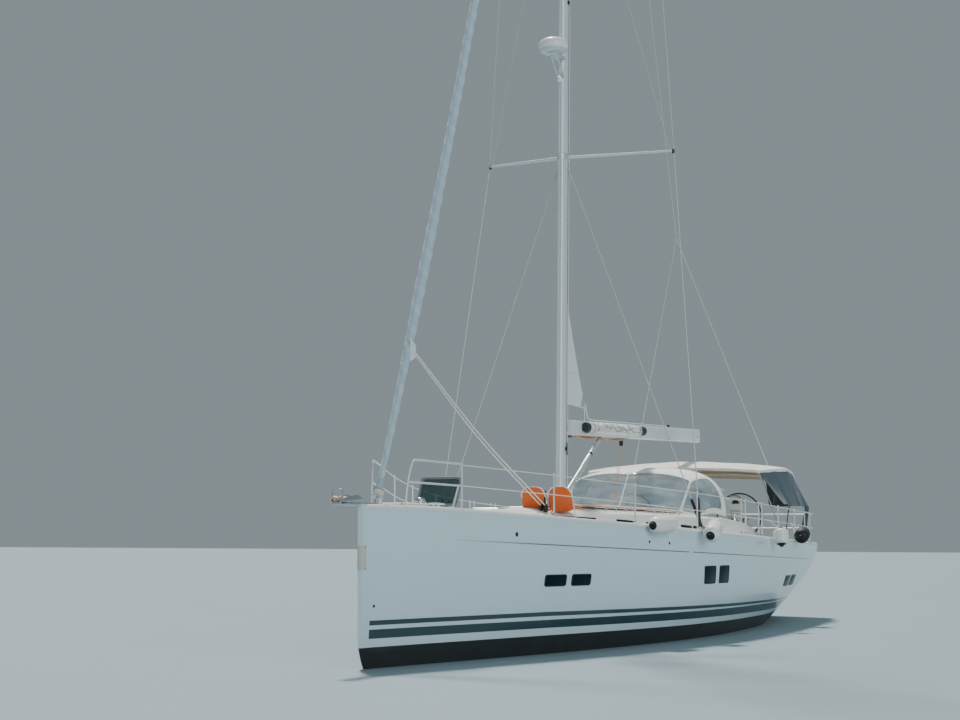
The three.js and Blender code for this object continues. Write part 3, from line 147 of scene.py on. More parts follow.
class Finish:
    """A procedural material."""

    def __init__(self, name, colour, roughness=0.5, metallic=0.0, **fixed):
        self.material = bpy.data.materials.new(name)
        self.material.use_nodes = True
        self.tree = self.material.node_tree
        self.shader = self.tree.nodes["Principled BSDF"]
        self.put(Base_Color=colour, Roughness=roughness, Metallic=metallic, **fixed)

    def feed(self, socket, value):
        if isinstance(value, Signal):
            self.tree.links.new(value.socket, socket)
        else:
            socket.default_value = value

    def put(self, **values):
        for name, value in values.items():
            self.feed(self.shader.inputs[name.replace("_", " ")], value)
        return self

    def node(self, kind, settings, *values, out=0, **named):
        made = self.tree.nodes.new(kind)
        for name, value in settings.items():
            setattr(made, name, value)
        for index, value in enumerate(values):
            self.feed(made.inputs[index], value)
        for name, value in named.items():
            self.feed(made.inputs[name.replace("_", " ")], value)
        return Signal(self, made.outputs[out])

    def spot(self, kind="Object"):
        return self.node("ShaderNodeTexCoord", {}, out={"Object": 3, "UV": 2}[kind])

    def axes(self, kind="Object"):
        split = self.node("ShaderNodeSeparateXYZ", {}, self.spot(kind)).socket.node
        return [Signal(self, split.outputs[i]) for i in range(3)]

    def noise(self, scale, detail=3.0, stretch=(1, 1, 1)):
        place = self.node("ShaderNodeMapping", {}, self.spot(), Scale=stretch)
        return self.node("ShaderNodeTexNoise", {}, Vector=place, Scale=scale, Detail=detail)

    def mix(self, share, first, second):
        made = self.tree.nodes.new("ShaderNodeMix")
        made.data_type = "RGBA"
        for index, value in ((0, share), (6, first), (7, second)):
            self.feed(made.inputs[index], value)
        return Signal(self, made.outputs[2])

    def bump(self, height, depth, strength=1.0):
        self.put(Normal=self.node("ShaderNodeBump", {}, Height=height, Distance=depth, Strength=strength))
        return self


def tone(red, green, blue):
    """A colour from its 0 to 255 screen values."""
    def linear(value):
        share = value / 255
        return share / 12.92 if share <= 0.04045 else ((share + 0.055) / 1.055) ** 2.4
    return (linear(red), linear(green), linear(blue), 1.0)


# The topsides' white gelcoat, with a painted blue-grey cast that stands for shade and water reflection
GELCOAT_SHADE_TINTED = tone(208, 227, 233)
DECK_WHITE = tone(236, 236, 231)
STRIPE_TEAL = tone(30, 58, 64)
NEAR_BLACK = tone(20, 24, 26)
THREAD = 0.004

# Topside stripes. Columns: height of the low edge and its slope aft of the bend, then the same of the
# high edge
STRIPE_BEND = 3.5
STRIPES = [(0.525, -0.0079, 0.585, -0.0098), (0.362, -0.0065, 0.475, -0.0044)]
STRIPE_FORE = 0.16
# Cove line: its height as a curve of the station, half its width, and the stations of its run and of its gap
COVE = (1.6367, -0.04077, 0.000835)
COVE_HALF = 0.008
COVE_RUN = (1.6, 15.2)
COVE_GAP = (6.98, 7.08)
PAINT_LINE = 0.26


def topside_gelcoat():
    made = Finish("topside_gelcoat", GELCOAT_SHADE_TINTED, 0.2, Coat_Weight=0.35, Coat_Roughness=0.06)
    x, _, z = made.axes()
    station = MIDSHIP - x
    run = (station - STRIPE_BEND).greater(0.0)
    off_line = station * station * COVE[2] + station * COVE[1] + COVE[0] - z
    cove = (1 - abs(off_line).over(COVE_HALF, 0.002)) * station.between(*COVE_RUN, 0.02)
    cove = cove * (1 - station.between(*COVE_GAP, 0.01)) * station.over(2.3, 0.9)
    mask = cove * 0.85
    for low, low_slope, high, high_slope in STRIPES:
        band = (z - run * low_slope).over(low) * (1 - (z - run * high_slope).over(high))
        mask = mask.greater(band * station.over(STRIPE_FORE, 0.003))
    grime = made.noise(0.7, 4.0, (1, 1, 2.5)).over(0.55, 0.3) * 0.12
    clean = made.mix(grime, GELCOAT_SHADE_TINTED, tone(206, 212, 208))
    painted = made.mix(mask, clean, STRIPE_TEAL)
    below = 1 - (z + run * 0.004).over(PAINT_LINE, 0.003)
    patchy = made.mix(made.noise(3.0, 5.0), tone(14, 17, 19), tone(34, 38, 40))
    made.put(Base_Color=made.mix(below, painted, patchy), Roughness=0.18 + below * 0.5 + grime)
    made.bump(made.noise(1.1, 1.0), 0.002, 0.25)
    return made


def deck_gelcoat():
    made = Finish("deck_gelcoat", DECK_WHITE, 0.32, Coat_Weight=0.15)
    soil = made.noise(1.8, 5.0).over(0.6, 0.25) * 0.18
    made.put(Base_Color=made.mix(soil, DECK_WHITE, tone(205, 200, 188)), Roughness=0.3 + soil)
    return made.bump(made.noise(60.0, 2.0), 0.0006, 0.3)


def tread_pattern():
    made = Finish("deck_tread", tone(221, 220, 213), 0.62)
    x, y, _ = made.axes()
    diamonds = (x + y).wave(0.018) * (x - y).wave(0.018)
    soil = made.noise(2.3, 5.0).over(0.5, 0.3) * 0.3
    made.put(Base_Color=made.mix(soil, tone(224, 223, 216), tone(196, 192, 180)))
    return made.bump(diamonds, 0.0015, 0.8)


def planked_teak():
    made = Finish("planked_teak", tone(150, 108, 66), 0.6)
    _, y, _ = made.axes()
    seam = 1 - y.wave(0.052).over(0.09, 0.02)
    grain = made.noise(9.0, 8.0, (1.5, 30, 30))
    tint = made.mix(made.noise(1.4, 2.0, (1, 19, 1)), tone(167, 126, 83), tone(130, 92, 56))
    wood = made.mix(grain * 0.5, tint, tone(96, 66, 40))
    made.put(Base_Color=made.mix(seam, wood, NEAR_BLACK), Roughness=0.55 + grain * 0.2)
    return made.bump(grain * 0.4 - seam, 0.001, 0.6)


def metal(name, colour, roughness, wear=0.1, scale=30.0):
    made = Finish(name, colour, roughness, 1.0)
    streak = made.noise(scale, 4.0)
    made.put(Roughness=roughness + streak * wear,
             Base_Color=made.mix(streak * 0.25, colour, tone(120, 124, 128)))
    return made.bump(streak, 0.0003, 0.2)


def plain_weave(made):
    """The height of the threads of a plain cloth."""
    x, y, z = made.axes()
    return (x + z * 0.7).wave(THREAD) + (y + z * 0.7).wave(THREAD)


def woven(name, light, shade, roughness, folds=0.0):
    """Cloth with a plain weave and small creases, with painted shade that darkens the creases from the light
    to the shade colour.
    """
    made = Finish(name, light, roughness, Sheen_Weight=0.25, Sheen_Roughness=0.6)
    weave = plain_weave(made)
    crease = made.noise(5.0, 5.0, (1, 1, 1.6))
    # Painted shade in the creases
    made.put(Base_Color=made.mix(crease.over(0.5, 0.35) * 0.55, light, shade),
             Roughness=roughness - crease * 0.1)
    return made.bump(weave * 0.15 + crease * (1.5 + folds), 0.003 + folds * 0.004, 0.5)


def rope(name, light, fleck):
    made = Finish(name, light, 0.8)
    x, y, z = made.axes()
    braid = (x * 1.3 + y + z).wave(0.02) * (x - y * 1.2 - z).wave(0.026)
    made.put(Base_Color=made.mix(braid.over(0.55, 0.1), light, fleck))
    return made.bump(braid, 0.001, 0.8)


def plain(name, colour, roughness, grain=40.0, depth=0.0005, **fixed):
    made = Finish(name, colour, roughness, **fixed)
    rough = made.noise(grain, 4.0)
    made.put(Roughness=roughness + (rough - 0.5) * 0.15,
             Base_Color=made.mix(rough * 0.3, colour, tuple(v * 0.72 for v in colour[:3]) + (1,)))
    return made.bump(rough, depth, 0.35)


TOPSIDE = topside_gelcoat()
DECK = deck_gelcoat()
TREAD = tread_pattern()
TEAK = planked_teak()
STEEL = metal("polished_steel", tone(205, 208, 210), 0.12)
WIRE = metal("rigging_wire", tone(206, 206, 198), 0.35, 0.2, 300.0)
WIRE.put(Metallic=0.35)
RAIL_STEEL = metal("rail_steel", tone(228, 231, 231), 0.3)
RAIL_STEEL.put(Metallic=0.3)
STEM_STEEL = plain("stem_steel", tone(206, 202, 192), 0.4, 12.0)
ROLLER_TAN = plain("roller_nylon", tone(206, 170, 142), 0.5)
CREAM_WIRE = plain("coated_wire", tone(232, 228, 214), 0.5)
SPAR = Finish("anodised_spar", tone(205, 211, 214), 0.38, 0.55)
SPAR.put(Roughness=0.34 + SPAR.noise(6.0, 3.0, (8, 8, 0.4)) * 0.12)
BOOM_PAINT = plain("boom_paint", tone(222, 229, 231), 0.3, 4.0, 0.0003, Coat_Weight=0.25)
BLACK = plain("black_moulding", NEAR_BLACK, 0.45)
RUBBER = plain("black_rubber", tone(16, 17, 19), 0.6, 80.0)
BRONZE = metal("cast_bronze", tone(176, 142, 86), 0.4, 0.2)
ANTIFOULING = plain("antifouling", tone(24, 27, 29), 0.75, 12.0, 0.002)
WHITE_PLASTIC = plain("white_moulding", tone(238, 238, 234), 0.3, 6.0, 0.0003, Coat_Weight=0.3)
DARK_GLASS = Finish("dark_window", tone(10, 34, 42), 0.3, Specular_IOR_Level=0.05)
DARK_GLASS.put(Base_Color=DARK_GLASS.mix(DARK_GLASS.noise(0.8, 2.0), tone(6, 26, 32), tone(12, 38, 46)))
TINTED = Finish("tinted_acrylic", tone(18, 58, 60), 0.06, Alpha=0.72, Coat_Weight=0.5)
TINTED.put(Base_Color=TINTED.mix(TINTED.noise(2.0, 2.0), tone(14, 48, 50), tone(30, 74, 74)))
SAILCLOTH = woven("sailcloth", tone(226, 229, 229), tone(200, 206, 208), 0.7)
CANVAS = woven("awning_canvas", tone(240, 238, 230), tone(222, 216, 202), 0.85)
AWNING_LINING = woven("awning_lining", tone(214, 200, 176), tone(190, 172, 146), 0.9)
GREY_CANVAS = woven("grey_canvas", tone(150, 166, 170), tone(118, 136, 142), 0.85)
CURTAIN = woven("curtain_cloth", tone(60, 82, 92), tone(40, 58, 68), 0.8, folds=0.5)
ORANGE = woven("orange_cloth", tone(226, 96, 12), tone(196, 74, 6), 0.8)
TAN = woven("tan_cloth", tone(196, 148, 112), tone(168, 120, 86), 0.85)
LEATHER = plain("stitched_leather", tone(60, 62, 64), 0.55, 120.0, 0.001)
WHITE_ROPE = rope("white_rope", tone(226, 224, 214), tone(190, 186, 172))
TAN_ROPE = rope("tan_rope", tone(208, 152, 112), tone(168, 106, 70))
GREY_ROPE = rope("grey_rope", tone(168, 170, 166), tone(110, 114, 116))
HATCH_ALLOY = plain("hatch_alloy", tone(112, 122, 128), 0.4)
FURLER_ALLOY = plain("furler_alloy", tone(164, 180, 192), 0.4, 6.0)
ROLL_ENDS = plain("roll_ends", tone(40, 54, 60), 0.8)
FLOOR = plain("floor_paint", tone(138, 158, 166), 0.6, 0.5, 0.0005)
FENDER_VINYL = plain("fender_vinyl", tone(238, 238, 232), 0.35, 3.0, 0.0004, Coat_Weight=0.2)


# Modelling helpers
def only(piece):
    bpy.ops.object.select_all(action="DESELECT")
    piece.select_set(True)
    bpy.context.view_layer.objects.active = piece


def fuse(pieces):
    """Several pieces made one object."""
    bpy.ops.object.select_all(action="DESELECT")
    for piece in pieces:
        piece.select_set(True)
    bpy.context.view_layer.objects.active = pieces[0]
    if len(pieces) > 1:
        bpy.ops.object.join()
    return bpy.context.object


def apply_modifier(piece, kind, **settings):
    only(piece)
    made = piece.modifiers.new(kind.lower(), kind)
    for name, value in settings.items():
        setattr(made, name, value)
    bpy.ops.object.modifier_apply(modifier=made.name)
    return piece


def outward(piece, merge=0.00005, fill=False):
    """Merges points that meet, fills holes if asked to, and turns all faces outwards."""
    only(piece)
    bpy.ops.object.mode_set(mode="EDIT")
    bpy.ops.mesh.select_all(action="SELECT")
    bpy.ops.mesh.remove_doubles(threshold=merge)
    if fill:
        bpy.ops.mesh.fill_holes(sides=0)
    bpy.ops.mesh.normals_make_consistent(inside=False)
    bpy.ops.object.mode_set(mode="OBJECT")
    return piece


def lofted(rings, caps=True):
    """A cylinder, cut into as many rings as are given, with its rings moved to those places."""
    around, rows = len(rings[0]), len(rings)
    bpy.ops.object.select_all(action="DESELECT")
    bpy.ops.mesh.primitive_cylinder_add(vertices=around, radius=1, depth=rows - 1,
                                        end_fill_type="NGON" if caps else "NOTHING")
    piece = bpy.context.object
    mesh = piece.data
    if rows > 2:
        bpy.context.tool_settings.mesh_select_mode = (False, True, False)
        for edge in mesh.edges:
            low, high = (mesh.vertices[i].co.z for i in edge.vertices)
            edge.select = abs(low - high) > 0.5
        bpy.ops.object.mode_set(mode="EDIT")
        bpy.ops.mesh.subdivide(number_cuts=rows - 2)
        bpy.ops.object.mode_set(mode="OBJECT")
    step = math.tau / around
    middle = (rows - 1) / 2
    for vertex in mesh.vertices:
        row = round(vertex.co.z + middle)
        index = round(math.atan2(vertex.co.y, vertex.co.x) / step) % around
        vertex.co = rings[row][index]
    return outward(piece)


def sheet_of(place, across, along):
    """A grid whose points are moved to place(u, v), with u and v from 0 to 1."""
    bpy.ops.object.select_all(action="DESELECT")
    bpy.ops.mesh.primitive_grid_add(x_subdivisions=across, y_subdivisions=along, size=2, calc_uvs=True)
    piece = bpy.context.object
    for vertex in piece.data.vertices:
        u, v = (vertex.co.x + 1) / 2, (vertex.co.y + 1) / 2
        vertex.co = place(u, v)
    return piece


def block(low, high, bevel=0.0, segments=2):
    """A box between two corners, with rounded edges."""
    size = [b - a for a, b in zip(low, high)]
    bpy.ops.object.select_all(action="DESELECT")
    bpy.ops.mesh.primitive_cube_add(size=1, location=[(a + b) / 2 for a, b in zip(low, high)])
    piece = bpy.context.object
    piece.scale = size
    bpy.ops.object.transform_apply(location=True, rotation=True, scale=True)
    if bevel:
        apply_modifier(piece, "BEVEL", width=bevel, segments=segments)
    return piece


def block_at(place, half_long, half_wide, low, high, bevel, segments=2):
    """A box about a place, between two heights that are counted from it."""
    return block(place + Vector((-half_long, -half_wide, low)), place + Vector((half_long, half_wide, high)),
                 bevel, segments)


def turns(count):
    """The angles of so many even steps round a circle."""
    return [math.tau * k / count for k in range(count)]


def circle(centre, along, radius, sides, flat=1.0):
    """A ring of points round a centre, square to a direction."""
    along = Vector(along).normalized()
    other = Vector((0, 0, 1)) if abs(along.z) < 0.9 else Vector((1, 0, 0))
    right = along.cross(other).normalized()
    top = right.cross(along)
    centre = Vector(centre)
    return [centre + right * (radius * math.cos(a)) + top * (radius * flat * math.sin(a))
            for a in turns(sides)]


def bar(start, end, radius, end_radius=None, sides=12):
    """A straight round bar."""
    end_radius = radius if end_radius is None else end_radius
    along = Vector(end) - Vector(start)
    return lofted([circle(start, along, radius, sides), circle(end, along, end_radius, sides)])


def smooth_path(points, steps):
    """Points evenly spread on a smooth run through the given ones."""
    knots = [Vector(p) for p in points]
    knots = [2 * knots[0] - knots[1]] + knots + [2 * knots[-1] - knots[-2]]
    fine = []
    for i in range(1, len(knots) - 2):
        a, b, c, d = knots[i - 1:i + 3]
        for k in range(12):
            t = k / 12
            fine.append(0.5 * (2 * b + (c - a) * t + (2 * a - 5 * b + 4 * c - d) * t * t
                               + (3 * b - a - 3 * c + d) * t ** 3))
    fine.append(knots[-2])
    lengths = [0.0]
    for a, b in zip(fine, fine[1:]):
        lengths.append(lengths[-1] + (b - a).length)
    out = []
    k = 0
    for i in range(steps + 1):
        want = lengths[-1] * i / steps
        while k < len(fine) - 2 and lengths[k + 1] < want:
            k += 1
        share = (want - lengths[k]) / max(lengths[k + 1] - lengths[k], 1e-9)
        out.append(fine[k].lerp(fine[k + 1], share))
    return out


def tube(points, radius, steps=24, sides=10, radii=None, flat=1.0):
    """A round tube along a smooth run through the points."""
    line = smooth_path(points, steps)
    rings = []
    top = None
    for i, centre in enumerate(line):
        along = (line[min(i + 1, steps)] - line[max(i - 1, 0)]).normalized()
        if top is None:
            guess = Vector((0, 0, 1)) if abs(along.z) < 0.9 else Vector((0, 1, 0))
            top = (guess - along * guess.dot(along)).normalized()
        top = (top - along * top.dot(along)).normalized()
        right = along.cross(top)
        size = radii(i / steps) if radii else radius
        rings.append([centre + right * (size * math.cos(a)) + top * (size * flat * math.sin(a))
                      for a in turns(sides)])
    return lofted(rings)


def spun(profile, foot, axis=(0, 0, 1), sides=24):
    """A turned body: columns of the profile are radius and height along the axis."""
    axis = Vector(axis).normalized()
    foot = Vector(foot)
    return lofted([circle(foot + axis * h, axis, max(r, 0.0004), sides) for r, h in profile])


def mirror(piece):
    """A copy on the other side of the centreline."""
    twin = piece.copy()
    twin.data = piece.data.copy()
    bpy.context.collection.objects.link(twin)
    twin.data.transform(Matrix.Scale(-1, 4, (0, 1, 0)))
    twin.data.flip_normals()
    return twin


def carve(piece, cutter):
    apply_modifier(piece, "BOOLEAN", operation="DIFFERENCE", solver="EXACT", object=cutter)
    bpy.data.objects.remove(cutter)
    return piece


def placed(piece, matrix):
    piece.data.transform(matrix)
    return piece


def settle(piece, name, finish, body="yacht", stands_for=(), slot=None, smooth=35):
    """Gives a finished piece its name, finish and body, and hides the CAD nodes that it stands for."""
    piece.name = name
    piece.data.name = name
    if finish is not None:
        piece.data.materials.clear()
        piece.data.materials.append(finish.material)
    only(piece)
    bpy.ops.object.shade_smooth_by_angle(angle=math.radians(smooth))
    if body:
        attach(piece, body)
    if stands_for:
        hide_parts(*stands_for)
    return piece


def both_sides(piece, name, finish, stands_for=(), **more):
    """The port piece and its mirror image, named after their sides."""
    twin = mirror(piece)
    for side, made in (("port", piece), ("stbd", twin)):
        settle(made, f"{name}_{side}", finish, stands_for=[f"{node}_{side}" for node in stands_for], **more)


bpy.ops.object.select_all(action="DESELECT")
bpy.ops.mesh.primitive_plane_add(size=400)
floor = bpy.context.object
floor.name = "floor"
floor.data.materials.append(FLOOR.material)


# Hull lines, as in the part. Columns: station, half breadth at deck, sheer height, half breadth at the turn,
# height of the turn, height of the bottom on the centreline
HULL_LINES = [
    (0, 0.035, 1.984, 0.02, 0.33, 0.25), (0.06, 0.055, 1.985, 0.026, 0.19, 0.12),
    (0.17, 0.09, 1.986, 0.034, 0.06, -0.04), (0.5, 0.2, 1.988, 0.13, 0, -0.2),
    (1, 0.375, 1.984, 0.27, 0, -0.34), (2, 0.73, 1.952, 0.58, 0, -0.5), (4, 1.44, 1.864, 1.17, 0, -0.64),
    (6, 2.02, 1.779, 1.65, 0, -0.71), (8, 2.42, 1.702, 1.97, 0, -0.73), (10, 2.57, 1.643, 2.1, 0, -0.69),
    (12, 2.6, 1.593, 2.05, 0, -0.55), (14, 2.54, 1.552, 1.8, 0, -0.31), (15.5, 2.425, 1.528, 1.47, 0, -0.09),
    (16.7, 2.3, 1.51, 1.15, 0.06, 0.02),
]
CAMBER = 0.028
FLARE = 1.8


def aft(station):
    """The X of a station, and just as well the station of an X."""
    return MIDSHIP - station


def cubic(t, start, leaving, end, arriving):
    """A cubic between two values, with its slopes there, at the share t of the way."""
    return ((2 * t ** 3 - 3 * t * t + 1) * start + (t ** 3 - 2 * t * t + t) * leaving
            + (3 * t * t - 2 * t ** 3) * end + (t ** 3 - t * t) * arriving)


def column(lines, index, station):
    """A smooth run through one column of a table, read at a station."""
    rows = len(lines)
    i = 0
    while i < rows - 2 and station > lines[i + 1][0]:
        i += 1

    def slope(k):
        return (lines[k + 1][index] - lines[k][index]) / (lines[k + 1][0] - lines[k][0])

    def tangent(k):
        if k in (0, rows - 1):
            return slope(min(k, rows - 2))
        before, after = slope(k - 1), slope(k)
        return 0 if before * after <= 0 else 2 * before * after / (before + after)

    width = lines[i + 1][0] - lines[i][0]
    t = (station - lines[i][0]) / width
    return cubic(t, lines[i][index], width * tangent(i), lines[i + 1][index], width * tangent(i + 1))


def half_breadth(station):
    return column(HULL_LINES, 1, station)


def sheer(station):
    return column(HULL_LINES, 2, station)


def deck_z(station, y=0.0):
    half = half_breadth(station)
    return sheer(station) + CAMBER * half * (1 - (y / half) ** 2)


def on_deck(station, y, lift=0.0):
    return Vector((aft(station), y, deck_z(station, y) + lift))


def on_side(station, z, side=1, lift=0.0):
    """A point on the topside at a height."""
    deck_half, top, turn_half, turn = (column(HULL_LINES, c, station) for c in (1, 2, 3, 4))
    k = (z - turn) / (top - turn)
    y = turn_half + (deck_half - turn_half) * (1 - (1 - k) ** FLARE)
    return Vector((aft(station), side * (y + lift), z))


TOPSIDE_STEPS, BOTTOM_STEPS, DECK_STEPS = 16, 9, 14


def hull_ring(station):
    deck_half, top, turn_half, turn, bottom = (column(HULL_LINES, c, station) for c in range(1, 6))
    side = []
    for i in range(TOPSIDE_STEPS + 1):
        k = 1 - i / TOPSIDE_STEPS
        side.append((turn_half + (deck_half - turn_half) * (1 - (1 - k) ** FLARE), turn + (top - turn) * k))
    for i in range(1, BOTTOM_STEPS + 1):
        angle = math.pi / 2 * i / BOTTOM_STEPS
        side.append((turn_half * math.cos(angle), turn - (turn - bottom) * math.sin(angle)))
    other = [(-y, z) for y, z in side[-2::-1]]
    deck = []
    for i in range(1, DECK_STEPS):
        y = deck_half * (2 * i / DECK_STEPS - 1)
        deck.append((y, top + CAMBER * deck_half * (1 - (y / deck_half) ** 2)))
    return [(aft(station), y, z) for y, z in side + other + deck]


# Wells cut into the hull. Columns: fore end, aft end, half breadth, floor height
WELLS = [
    (11.8, 14.15, 0.62, 1.0), (14.1, 16.05, 1.65, 1.1), (16.0, 16.8, 0.38, 1.1), (10.5, 11.45, 0.33, 0.5),
    (2.335, 2.695, 0.26, 1.59), (0.945, 1.475, 0.185, 1.62),
]
ABOVE_DECK = 2.6
DECK_SLOT = 1


def build_hull():
    stations = [0, 0.03, 0.06, 0.11, 0.17, 0.26, 0.38, 0.52, 0.7, 0.9]
    stations += [1.15 + 0.3 * k for k in range(51)] + [HULL_LENGTH - 0.25, HULL_LENGTH]
    hull = lofted([hull_ring(s) for s in stations])
    for finish in (TOPSIDE, DECK):
        hull.data.materials.append(finish.material)
    for face in hull.data.polygons:
        face.material_index = DECK_SLOT if face.normal.z > 0.8 and face.center.z > 1.3 else 0
    for fore, back, half, low in WELLS:
        cutter = block((aft(back), -half, low), (aft(fore), half, ABOVE_DECK), 0.03 if half > 0.4 else 0.01)
        for finish in (TOPSIDE, DECK):
            cutter.data.materials.append(finish.material)
        for face in cutter.data.polygons:
            face.material_index = DECK_SLOT
        carve(hull, cutter)
    settle(hull, "hull_shell", None, stands_for=["hull"], slot="hull", smooth=28)


build_hull()


def rounded_outline(half_wide, half_high, corner, count=8):
    """A rounded rectangle about the origin."""
    points = []
    for quarter, (cx, cy) in enumerate(((1, 1), (-1, 1), (-1, -1), (1, -1))):
        for k in range(count):
            angle = math.pi / 2 * (quarter + k / (count - 1))
            points.append((cx * (half_wide - corner) + corner * math.cos(angle),
                           cy * (half_high - corner) + corner * math.sin(angle)))
    return points


# Hull windows on both sides. Columns: fore end, aft end, low, high, lean aft per metre of height
HULL_WINDOWS = [
    (3.36, 3.8, 0.941, 1.087, 0.0), (3.935, 4.355, 0.941, 1.087, 0.0), (7.64, 8.09, 0.89, 1.16, 0.42),
    (8.27, 8.7, 0.89, 1.16, 0.42), (12.9, 13.4, 0.73, 0.91, 0.5), (13.6, 14.1, 0.73, 0.91, 0.5),
]


def build_hull_windows():
    panes, rims = [], []
    for fore, back, low, high, lean in HULL_WINDOWS:
        station, z = (fore + back) / 2, (low + high) / 2

        def ring(grow, lift):
            outline = rounded_outline((back - fore) / 2 + grow, (high - low) / 2 + grow, 0.03 + max(grow, 0))
            return [on_side(station + u - lean * v, z + v, 1, lift) for u, v in outline]

        rims.append(lofted([ring(0.01, -0.01), ring(0.01, 0.008), ring(0.0, 0.01), ring(0.0, -0.01)]))
        panes.append(lofted([ring(-0.001, -0.01), ring(-0.001, 0.007), ring(-0.006, 0.009)]))
    both_sides(fuse(panes), "hull_windows", DARK_GLASS)
    both_sides(fuse(rims), "hull_window_rims", BLACK)


build_hull_windows()

# Skin fittings on the topside. Columns: station, height, radius
SKIN_FITTINGS = [(2.74, 1.648, 0.032), (5.75, 1.55, 0.022), (6.33, 1.53, 0.022), (0.23, 0.76, 0.02)]
fittings = []
for station, z, radius in SKIN_FITTINGS:
    place = on_side(station, z)
    fittings.append(spun([(radius, -0.01), (radius, 0.004), (radius * 0.7, 0.009), (0.0, 0.009)],
                         place, (0, 1, 0), 20))
both_sides(fuse(fittings), "skin_fittings", BLACK)


# Section of the toe rail. Columns: breadth and height past the deck's edge
TOE_RAIL = [
    (0.007, -0.03), (0.006, -0.012), (-0.006, 0.008), (-0.022, 0.021), (-0.034, 0.021), (-0.04, 0.012),
    (-0.042, -0.02),
]


def build_toe_rail():
    rings = []
    for k in range(46):
        station = 0.1 + (HULL_LENGTH - 0.14) * k / 45
        half, top = half_breadth(station), sheer(station)
        rings.append([(aft(station), half + y, top + z) for y, z in TOE_RAIL])
    return lofted(rings)


both_sides(build_toe_rail(), "toe_rail", DECK, slot="deck")


def build_stem_plate():
    def wrap(z, lift):
        port = [on_side(s, z, 1, lift) for s in (0.06, 0.04, 0.02, 0.0)]
        nose = [Vector((aft(0) + 0.004 + lift, y, z)) for y in (0.02, -0.02)]
        return port + nose + [Vector((p.x, -p.y, p.z)) for p in reversed(port)]
    heights = [1.2, 1.28, 1.36, 1.44, 1.5]
    rows = [wrap(z, 0.005) for z in heights] + [wrap(z, -0.004) for z in reversed(heights)]
    plate = lofted([list(points) for points in zip(*rows)])
    rivets = [spun([(0.009, 0), (0.008, 0.003), (0.003, 0.005)], on_side(0.045, z, side, 0.004),
                   (0, side, 0), 10)
              for z in (1.22, 1.48) for side in (1, -1)]
    settle(plate, "stem_plate", STEM_STEEL, slot="stainless")
    settle(fuse(rivets), "stem_rivets", BLACK)


build_stem_plate()


def deck_patch(fore_end, back_end, thick=0.004):
    """A thin plate on the deck. Each end is given by its station, inner and outer breadth."""
    (fore, fore_in, fore_out), (back, back_in, back_out) = fore_end, back_end

    def place(u, v):
        station = fore + (back - fore) * u
        inner = fore_in + (back_in - fore_in) * u
        outer = fore_out + (back_out - fore_out) * u
        return on_deck(station, inner + (outer - inner) * v, 0.0015)
    return apply_modifier(sheet_of(place, 24, 6), "SOLIDIFY", thickness=thick, offset=1.0)


# Patches of tread pattern on the side decks. Columns: fore and aft station, breadth of the inner side at both
# ends, and inset of the outer side from the deck's edge at both ends
DECK_PATCHES = [
    (1.75, 2.15, 0.1, 0.1, 0.16, 0.16), (2.95, 3.55, 0.06, 0.06, 0.16, 0.16),
    (3.62, 4.9, 0.45, 0.95, 0.16, 0.16), (5.0, 6.2, 0.99, 1.28, 0.16, 0.16),
    (6.3, 7.3, 1.3, 1.5, 0.16, 0.3), (7.7, 9.1, 1.56, 1.7, 0.3, 0.16), (9.2, 10.8, 1.72, 1.76, 0.16, 0.16),
    (10.9, 12.3, 1.76, 1.76, 0.16, 0.16), (12.4, 13.9, 1.78, 1.82, 0.16, 0.16),
    (14.0, 15.2, 1.84, 1.84, 0.16, 0.16), (15.3, 16.3, 1.84, 1.8, 0.16, 0.25),
]
patches = [deck_patch((fore, in0, half_breadth(fore) - inset0), (back, in1, half_breadth(back) - inset1))
           for fore, back, in0, in1, inset0, inset1 in DECK_PATCHES]
both_sides(fuse(patches), "deck_tread", TREAD, slot="deck")
both_sides(deck_patch((11.62, 0.66, 1.24), (14.02, 0.66, 1.3), 0.008), "seat_teak", TEAK, slot="teak")


def teak_floor(fore, back, half, z):
    return block((aft(back), -half, z + 0.0015), (aft(fore), half, z + 0.009), 0.002, 1)


soles = [teak_floor(11.85, 14.08, 0.58, 1.0), teak_floor(14.2, 15.98, 1.6, 1.1)]
settle(fuse(soles), "sole_teak", TEAK, slot="teak")


# Coachroof. Columns: station, half breadth at its foot, height of its shoulder above the sheer
COACHROOF = [
    (3.7, 0.34, 0.06), (4.4, 0.64, 0.12), (5.4, 0.95, 0.19), (6.6, 1.24, 0.255), (8, 1.47, 0.3),
    (9.7, 1.625, 0.335), (11.45, 1.64, 0.385),
]
ROOF_FORE, ROOF_BACK = COACHROOF[0][0], COACHROOF[-1][0]
ROOF_CROWN = 0.075
SLIDE = {"fore": 9.48, "back": 10.48, "half": 0.35}


def side_lean(half):
    """How far the roof's side leans inwards, for a half breadth at its foot."""
    return min(0.15, half * 0.4)


def roof_side(station):
    """Half of the roof's section, from its foot to the centreline."""
    half, height = column(COACHROOF, 1, station), column(COACHROOF, 2, station)
    top, foot = sheer(station) + height, sheer(station) - 0.06
    inset = side_lean(half)
    knots = [(half + 0.012, foot), (half - inset * 0.3, top - height * 0.35), (half - inset, top - 0.004),
             (half * 0.5, top + ROOF_CROWN * 0.75), (0.0, top + ROOF_CROWN)]
    line = smooth_path([(0, y, z) for y, z in knots], 20)
    return [(p.y, p.z) for p in line[:-1]] + [(0.0, top + ROOF_CROWN)]


def roof_z(station, y=0.0):
    side = roof_side(station)
    for (y0, z0), (y1, z1) in zip(side, side[1:]):
        if y1 <= abs(y) <= y0:
            return z0 + (z1 - z0) * (y0 - abs(y)) / max(y0 - y1, 1e-6)
    return side[0][1]


def on_roof(station, y, lift=0.0):
    return Vector((aft(station), y, roof_z(station, y) + lift))


